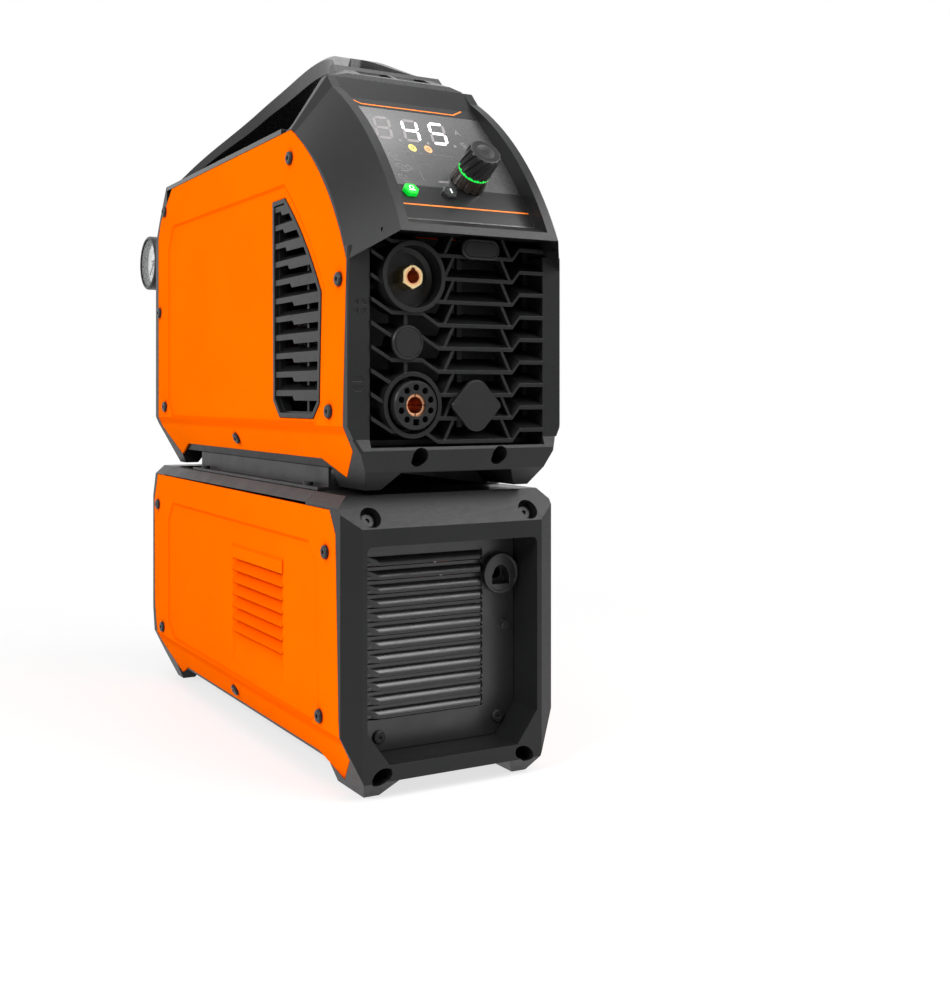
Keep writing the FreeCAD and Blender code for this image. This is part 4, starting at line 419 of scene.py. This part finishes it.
window = surface_of("display_lens")
feet_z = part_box("front_cowl")[0].z
panel_front = surface_of("display_lens", "front_cowl")
print_lift = 0.06 * MM       # how far prints stand off the surface
probe_out = 50 * MM          # how far outside a face a probing ray starts


def on_window(x, height, lift=print_lift, target=None):
    """Point on the display, x from the middle and height above the power source's feet, in metres."""
    start = Vector((x, cad_box[0].y - 2 * probe_out, feet_z + height))
    place, normal, _, _ = (target or window).ray_cast(start, Vector((0.0, 1.0, 0.0)))
    if place is None:
        raise RuntimeError("a display graphic lies beside the window")
    return place + normal * lift


def make_piece(name, mesh_data, material, body):
    mesh = bpy.data.meshes.new(name)
    mesh.from_pydata(mesh_data[0], [], mesh_data[1])
    mesh.update()
    piece = bpy.data.objects.new(name, mesh)
    bpy.context.scene.collection.objects.link(piece)
    piece.data.materials.append(material)
    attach(piece, body)
    return piece


def laid(shapes, lift=print_lift, target=None):
    """Flat outlines in display millimetres, laid onto the window and split to follow its curve."""
    points = []
    faces = []
    for outline in shapes:
        flat = bmesh.new()
        flat.faces.new([flat.verts.new((x, y, 0.0)) for x, y in outline])
        for level in range(math.ceil(min(y for _, y in outline)), math.ceil(max(y for _, y in outline)), 3):
            geometry = flat.verts[:] + flat.edges[:] + flat.faces[:]
            bmesh.ops.bisect_plane(flat, geom=geometry, plane_co=(0, level, 0), plane_no=(0, 1, 0))
        flat.verts.index_update()
        start = len(points)
        points += [on_window(v.co.x * MM, v.co.y * MM, lift, target) for v in flat.verts]
        faces += [[start + v.index for v in f.verts] for f in flat.faces]
        flat.free()
    return points, faces


def bar(start, end, width):
    """Outline of a straight line with square ends."""
    along = (Vector(end) - Vector(start)).normalized()
    side = Vector((-along.y, along.x)) * width / 2.0
    a, b = Vector(start), Vector(end)
    return [tuple(p) for p in (a - side, b - side, b + side, a + side)]


def disc(centre, radius, steps=24):
    turn = 2.0 * math.pi / steps
    return [(centre[0] + radius * math.cos(i * turn),
             centre[1] + radius * math.sin(i * turn)) for i in range(steps)]


def ring(centre, radius, width, steps=20):
    """A circle drawn as short bars."""
    points = disc(centre, radius, steps)
    return [bar(points[i], points[(i + 1) % steps], width) for i in range(steps)]


# Display layout in millimetres: x from the middle, heights above the power source's feet.
digit_height = 16.5      # between the middles of the top and bottom bars
digit_width = 10.6
digit_lean = 0.28
digit_stroke = 2.1
digit_gap = 0.5          # between neighbouring bars
digit_low = 225.5
digit_pitch = 20.9
digit_first = -40.8
dot_offset = (5.4, -0.9)     # decimal point from the foot of its digit
dot_r = 1.0
letter_stroke = 0.5
symbol_stroke = 0.35
rule_stroke = 0.28
lamp_r = 2.8
line_stroke = 0.9        # orange lines across the panel
low_line_at = 177.0
lens_reach = 49.8        # how far the prints reach to either side
zone_low, zone_high = 167.4, 190.7     # dark band behind the buttons


def segment(number, origin):
    """One bar of a seven-segment digit: a, b, c, d, e, f, g in the usual order."""
    w, h, t = digit_width, digit_height, digit_stroke
    gap = digit_gap
    ends = {
        "a": ((0, h), (w, h)), "b": ((w, h), (w, h / 2)), "c": ((w, h / 2), (w, 0)), "d": ((0, 0), (w, 0)),
        "e": ((0, h / 2), (0, 0)), "f": ((0, h), (0, h / 2)), "g": ((0, h / 2), (w, h / 2)),
    }[number]
    (x0, y0), (x1, y1) = ends
    length = math.hypot(x1 - x0, y1 - y0)
    ux, uy = (x1 - x0) / length, (y1 - y0) / length
    nx, ny = -uy, ux
    half = t / 2
    local = [(gap, 0), (gap + half, half), (length - gap - half, half), (length - gap, 0),
             (length - gap - half, -half), (gap + half, -half)]
    flat = [(x0 + a * ux + b * nx, y0 + a * uy + b * ny) for a, b in local]
    return [(origin[0] + x + digit_lean * y, origin[1] + y) for x, y in flat]


def digit_origin(index):
    return (digit_first + digit_pitch * index, digit_low)


lit = {0: "", 1: "bcfg", 2: "acdfg"}
lit_shapes = []
dim_shapes = []
for index, on in lit.items():
    for number in "abcdefg":
        (lit_shapes if number in on else dim_shapes).append(segment(number, digit_origin(index)))
    x, y = digit_origin(index)
    dim_shapes.append(disc((x + digit_width + dot_offset[0], y + dot_offset[1]), dot_r, 12))

white_glow = ink("lit_segments", (1.0, 1.0, 1.0), 1.6)
# The segments, symbols and dash that are not lit glow faintly: painted light.
unlit_painted_glow = ink("unlit_segments", (0.25, 0.232, 0.232), 0.27)
grey_print = ink("grey_print", (0.20, 0.20, 0.20))
# The orange print glows faintly: painted light, since print gives no light.
amber_print_painted_glow = ink("orange_print", (0.90, 0.20, 0.0), 0.22)
make_piece("display_segments_lit", laid(lit_shapes), white_glow, "housing")
make_piece("display_segments_unlit", laid(dim_shapes), unlit_painted_glow, "housing")


def letter_a(origin, height, width):
    x, y = origin
    top = (x + width / 2, y + height)
    level = y + height * 0.35
    strokes = [((x, y), top), (top, (x + width, y)), ((x + width * 0.2, level), (x + width * 0.8, level))]
    return [bar(start, end, letter_stroke) for start, end in strokes]


def letter_s(origin, height, width):
    x, y = origin
    corners = [(x + width, y + height), (x, y + height), (x, y + height / 2), (x + width, y + height / 2),
               (x + width, y), (x, y)]
    return [bar(corners[i], corners[i + 1], letter_stroke) for i in range(5)]


def torch_symbol(x, y):
    """Small pictogram of a torch over a plate."""
    strokes = [((-4.2, 1.8), (-1.0, 1.8)), ((-4.2, -0.4), (-1.0, -0.4)), ((-4.2, 1.8), (-4.2, -0.4)),
               ((-1.0, -0.4), (0.6, -2.4)), ((0.4, 1.8), (2.6, -0.2)), ((-2.2, -3.0), (3.6, -3.0))]
    return [bar((x + a, y + b), (x + c, y + d), symbol_stroke) for (a, b), (c, d) in strokes]


letter_a_at, letter_s_at = (23.2, 234.6), (23.2, 224.4)
torches_at = ((-35.2, 211.5), (-33.3, 203.8), (-34.6, 195.6))
symbol_ring_at = (-28.6, 203.6)
symbols = letter_a(letter_a_at, 3.9, 3.6) + letter_s(letter_s_at, 3.6, 2.6)
for x, y in torches_at:
    symbols += torch_symbol(x, y)
symbols += ring(symbol_ring_at, 1.8, symbol_stroke, 12)
make_piece("display_symbols", laid(symbols), unlit_painted_glow, "housing")
rules = [bar((-40.4, 215.7), (10.9, 215.7), rule_stroke), bar((-21.4, 213.9), (-21.0, 192.3), rule_stroke)]
make_piece("display_rules", laid(rules), grey_print, "housing")
make_piece("display_dash", laid([bar((-10.0, 195.0), (-2.5, 195.2), 1.3)]), unlit_painted_glow, "housing")
status_lamps = (("yellow", (-18.2, 219.5), (0.80, 0.62, 0.16)),
                ("orange", (-6.2, 219.8), (0.90, 0.36, 0.16)))
for hue, at, colour in status_lamps:
    make_piece("display_lamp_" + hue, laid([disc(at, lamp_r)]), ink(hue + "_lamp", colour, 0.45), "housing")
lamp_marks = [shape for _, at, _ in status_lamps for shape in ring(at, 1.0, 0.5, 12)]
make_piece("display_lamp_marks", laid(lamp_marks, 2.0 * print_lift),
           ink("lamp_mark_print", (0.16, 0.10, 0.04)), "housing")
zone = [(-50.0, zone_low), (50.0, zone_low), (50.0, zone_high), (-50.0, zone_high)]
make_piece("display_button_zone", laid([zone], 0.5 * print_lift),
           ink("dark_print", (0.012, 0.012, 0.013), rough=0.3), "housing")
low_line = bar((-lens_reach, low_line_at), (lens_reach, low_line_at), line_stroke)
make_piece("display_low_line", laid([low_line]), amber_print_painted_glow, "housing")
top_line = [(-47.5, 256.8), (-39.8, 252.6), (31.8, 252.6), (40.8, 256.8)]
top_bars = [bar(top_line[i], top_line[i + 1], line_stroke) for i in range(3)]
make_piece("display_top_line", laid(top_bars, print_lift, panel_front), amber_print_painted_glow, "housing")


# ---- marks on the buttons ------------------------------------------------------------------------
mark_lift = 0.08 * MM


def button_mark(node, body, shapes, material):
    """Flat mark on a button's sloping top; shapes are in millimetres across and up the button."""
    low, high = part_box(node)
    top = surface_of(node)
    out = -Vector(joints[node + "_press"]["axis"]).normalized()
    across = Vector((1.0, 0.0, 0.0))
    upward = out.cross(across).normalized()
    if upward.z < 0:
        upward = -upward
    centre = (low + high) / 2.0
    points = []
    faces = []
    for outline in shapes:
        start = len(points)
        for x, y in outline:
            origin = centre + across * x * MM + upward * y * MM + out * probe_out
            points.append(top.ray_cast(origin, -out)[0] + out * mark_lift)
        faces.append(list(range(start, start + len(outline))))
    return make_piece(node + "_mark", (points, faces), material, body)


mark_white = ink("button_mark", (0.9, 0.92, 0.9), 0.6)
gas_mark = [bar((-2.4, -1.6), (2.4, -1.6), 0.6)] + ring((0.0, 0.7), 1.5, 0.6, 12)
button_mark("green_button", "green_key", gas_mark, mark_white)
button_mark("dark_button", "dark_key", [bar((0.4, -1.9), (0.4, 2.0), 1.1)], mark_white)


# ---- gauge dial ----------------------------------------------------------------------------------
dial_start = -135.0      # degrees from the top
dial_step = 54.0
dial_r = 11.6 * MM
dial_text = 5.2 * MM


def dial_numbers():
    """Plain numbers round the dial, from 0 to 10."""
    low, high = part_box("gauge_dial")
    centre = (low + high) / 2.0
    made = []
    for i in range(6):
        angle = math.radians(dial_start + dial_step * i)
        curve = bpy.data.curves.new("dial_number", "FONT")
        curve.body = str(2 * i)
        curve.size = dial_text
        curve.align_x = "CENTER"
        curve.align_y = "CENTER"
        text = bpy.data.objects.new("dial_number", curve)
        bpy.context.scene.collection.objects.link(text)
        at = (dial_face, centre.y - dial_r * math.sin(angle), centre.z + dial_r * math.cos(angle))
        text.matrix_world = Matrix.Translation(at) @ facing_left
        made.append(text)
    bpy.context.view_layer.update()
    graph = bpy.context.evaluated_depsgraph_get()
    points = []
    faces = []
    for text in made:
        mesh = bpy.data.meshes.new_from_object(text.evaluated_get(graph))
        start = len(points)
        points += [text.matrix_world @ v.co for v in mesh.vertices]
        faces += [[start + i for i in p.vertices] for p in mesh.polygons]
        bpy.data.meshes.remove(mesh)
        bpy.data.objects.remove(text)
    make_piece("dial_numbers", (points, faces), ink("dial_ink", (0.02, 0.02, 0.02)), "housing")


facing_left = Matrix(((0, 0, -1, 0), (-1, 0, 0, 0), (0, 1, 0, 0), (0, 0, 0, 1)))
dial_hit = surface_of("gauge_dial")
gauge_low, gauge_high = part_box("gauge_dial")
dial_middle = (gauge_low + gauge_high) / 2
dial_probe = Vector((gauge_low.x - probe_out, dial_middle.y + 6 * MM, dial_middle.z + 6 * MM))
dial_face = dial_hit.ray_cast(dial_probe, Vector((1, 0, 0)))[0].x - 0.05 * MM
dial_numbers()


# ---- floor, lamps, camera ------------------------------------------------------------------------
floor_size = 14.0
floor_at = (0.0, 2.0, -0.0002)   # just below the feet
shadow_reach = (0.30, 0.75)      # the floor's shadow fades out between these distances from the middle
near_white = 0.72                # share of plain white in the floor next to the machine


def floor():
    """Wide pale floor: it keeps the shadow round the machine and turns pure white further out."""
    bpy.ops.mesh.primitive_plane_add(size=floor_size, location=floor_at)
    plane = bpy.context.object
    plane.name = "floor"
    m = Recipe("pale_floor", (0.93, 0.93, 0.93), 0.6)
    path = m.add("LightPath")
    through = m.maths("MAXIMUM", path.outputs["Is Glossy Ray"], path.outputs["Is Transmission Ray"])
    seen = m.maths("MAXIMUM", path.outputs["Is Camera Ray"], through)
    away = m.add("VectorMath", {"operation": "LENGTH"},
                 i0=m.add("NewGeometry").outputs["Position"]).outputs["Value"]
    share = m.spread(away, shadow_reach[0], shadow_reach[1], near_white, 1.0)
    glow = m.add("Emission", Color=(1.0, 1.0, 1.0, 1.0), Strength=1.0).outputs[0]
    blend = m.add("MixShader", Fac=m.maths("MULTIPLY", seen, share))
    m.tree.links.new(m.shader.outputs[0], blend.inputs[1])
    m.tree.links.new(glow, blend.inputs[2])
    m.tree.links.new(blend.outputs[0], m.tree.nodes["Material Output"].inputs["Surface"])
    plane.data.materials.append(m.material)


soft_level = 0.28                # even light from all round
mirror_room = (0.16, 1.3)        # what shiny faces mirror: the dark room in front, the white backdrop behind
mirror_turn = (-0.1, 0.75)       # Y of the mirrored direction, where the one turns into the other


def world_light():
    """White behind the object, an even grey light on it, and a dark room before it in the reflections."""
    world = bpy.data.worlds.new("studio")
    bpy.context.scene.world = world
    world.use_nodes = True
    tree = world.node_tree
    back = tree.nodes["Background"]
    back.inputs["Color"].default_value = (1.0, 1.0, 1.0, 1.0)
    path = tree.nodes.new("ShaderNodeLightPath")
    way = tree.nodes.new("ShaderNodeTexCoord")
    split = tree.nodes.new("ShaderNodeSeparateXYZ")
    backdrop = tree.nodes.new("ShaderNodeMapRange")
    for name, value in zip(("From Min", "From Max", "To Min", "To Max"), mirror_turn + mirror_room):
        backdrop.inputs[name].default_value = value
    mirrored = tree.nodes.new("ShaderNodeMapRange")
    mirrored.inputs["To Min"].default_value = soft_level
    pick = tree.nodes.new("ShaderNodeMapRange")
    pick.inputs["To Max"].default_value = 1.0
    tree.links.new(way.outputs["Generated"], split.inputs[0])
    tree.links.new(split.outputs["Y"], backdrop.inputs["Value"])
    tree.links.new(path.outputs["Is Glossy Ray"], mirrored.inputs["Value"])
    tree.links.new(backdrop.outputs[0], mirrored.inputs["To Max"])
    tree.links.new(path.outputs["Is Camera Ray"], pick.inputs["Value"])
    tree.links.new(mirrored.outputs[0], pick.inputs["To Min"])
    tree.links.new(pick.outputs[0], back.inputs["Strength"])


def lamp(name, size, power, place, target):
    """Rectangular area lamp of that power in watts, turned to the target."""
    data = bpy.data.lights.new(name, "AREA")
    data.shape = "RECTANGLE"
    data.size, data.size_y = size
    data.energy = power
    made = bpy.data.objects.new(name, data)
    bpy.context.scene.collection.objects.link(made)
    made.location = place
    made.rotation_mode = "QUATERNION"
    made.rotation_quaternion = (Vector(target) - Vector(place)).to_track_quat("-Z", "Y")
    return made


mid_height = (0.0, 0.0, 0.25)
eye_at = (-0.3971, -0.83605, 0.2503)
eye_turn = -26.92        # degrees from straight ahead, to the right
eye_lens = 42.6
eye_sensor = 36.0
eye_shift = (0.1266, -0.0998)


def camera():
    """Eye level with the middle of the machine, in front and to the left."""
    data = bpy.data.cameras.new("camera")
    data.lens = eye_lens
    data.sensor_width = eye_sensor
    data.shift_x, data.shift_y = eye_shift
    made = bpy.data.objects.new("camera", data)
    bpy.context.scene.collection.objects.link(made)
    made.location = eye_at
    made.rotation_euler = (math.radians(90.0), 0.0, math.radians(eye_turn))
    bpy.context.scene.camera = made


floor()
world_light()
lamp("left_softbox", (0.55, 0.55), 25.0, (-1.6, -0.75, 1.25), mid_height)
lamp("overhead_softbox", (1.4, 1.4), 17.0, (-0.1, -0.25, 1.75), mid_height)
lamp("front_fill", (1.2, 0.9), 2.5, (0.9, -1.9, 0.9), mid_height)
lamp("brow_softbox", (1.3, 0.7), 17.0, (0.75, -0.95, 1.2), (0.0, -0.18, 0.2))
camera()
bpy.context.scene.view_settings.view_transform = "Standard"
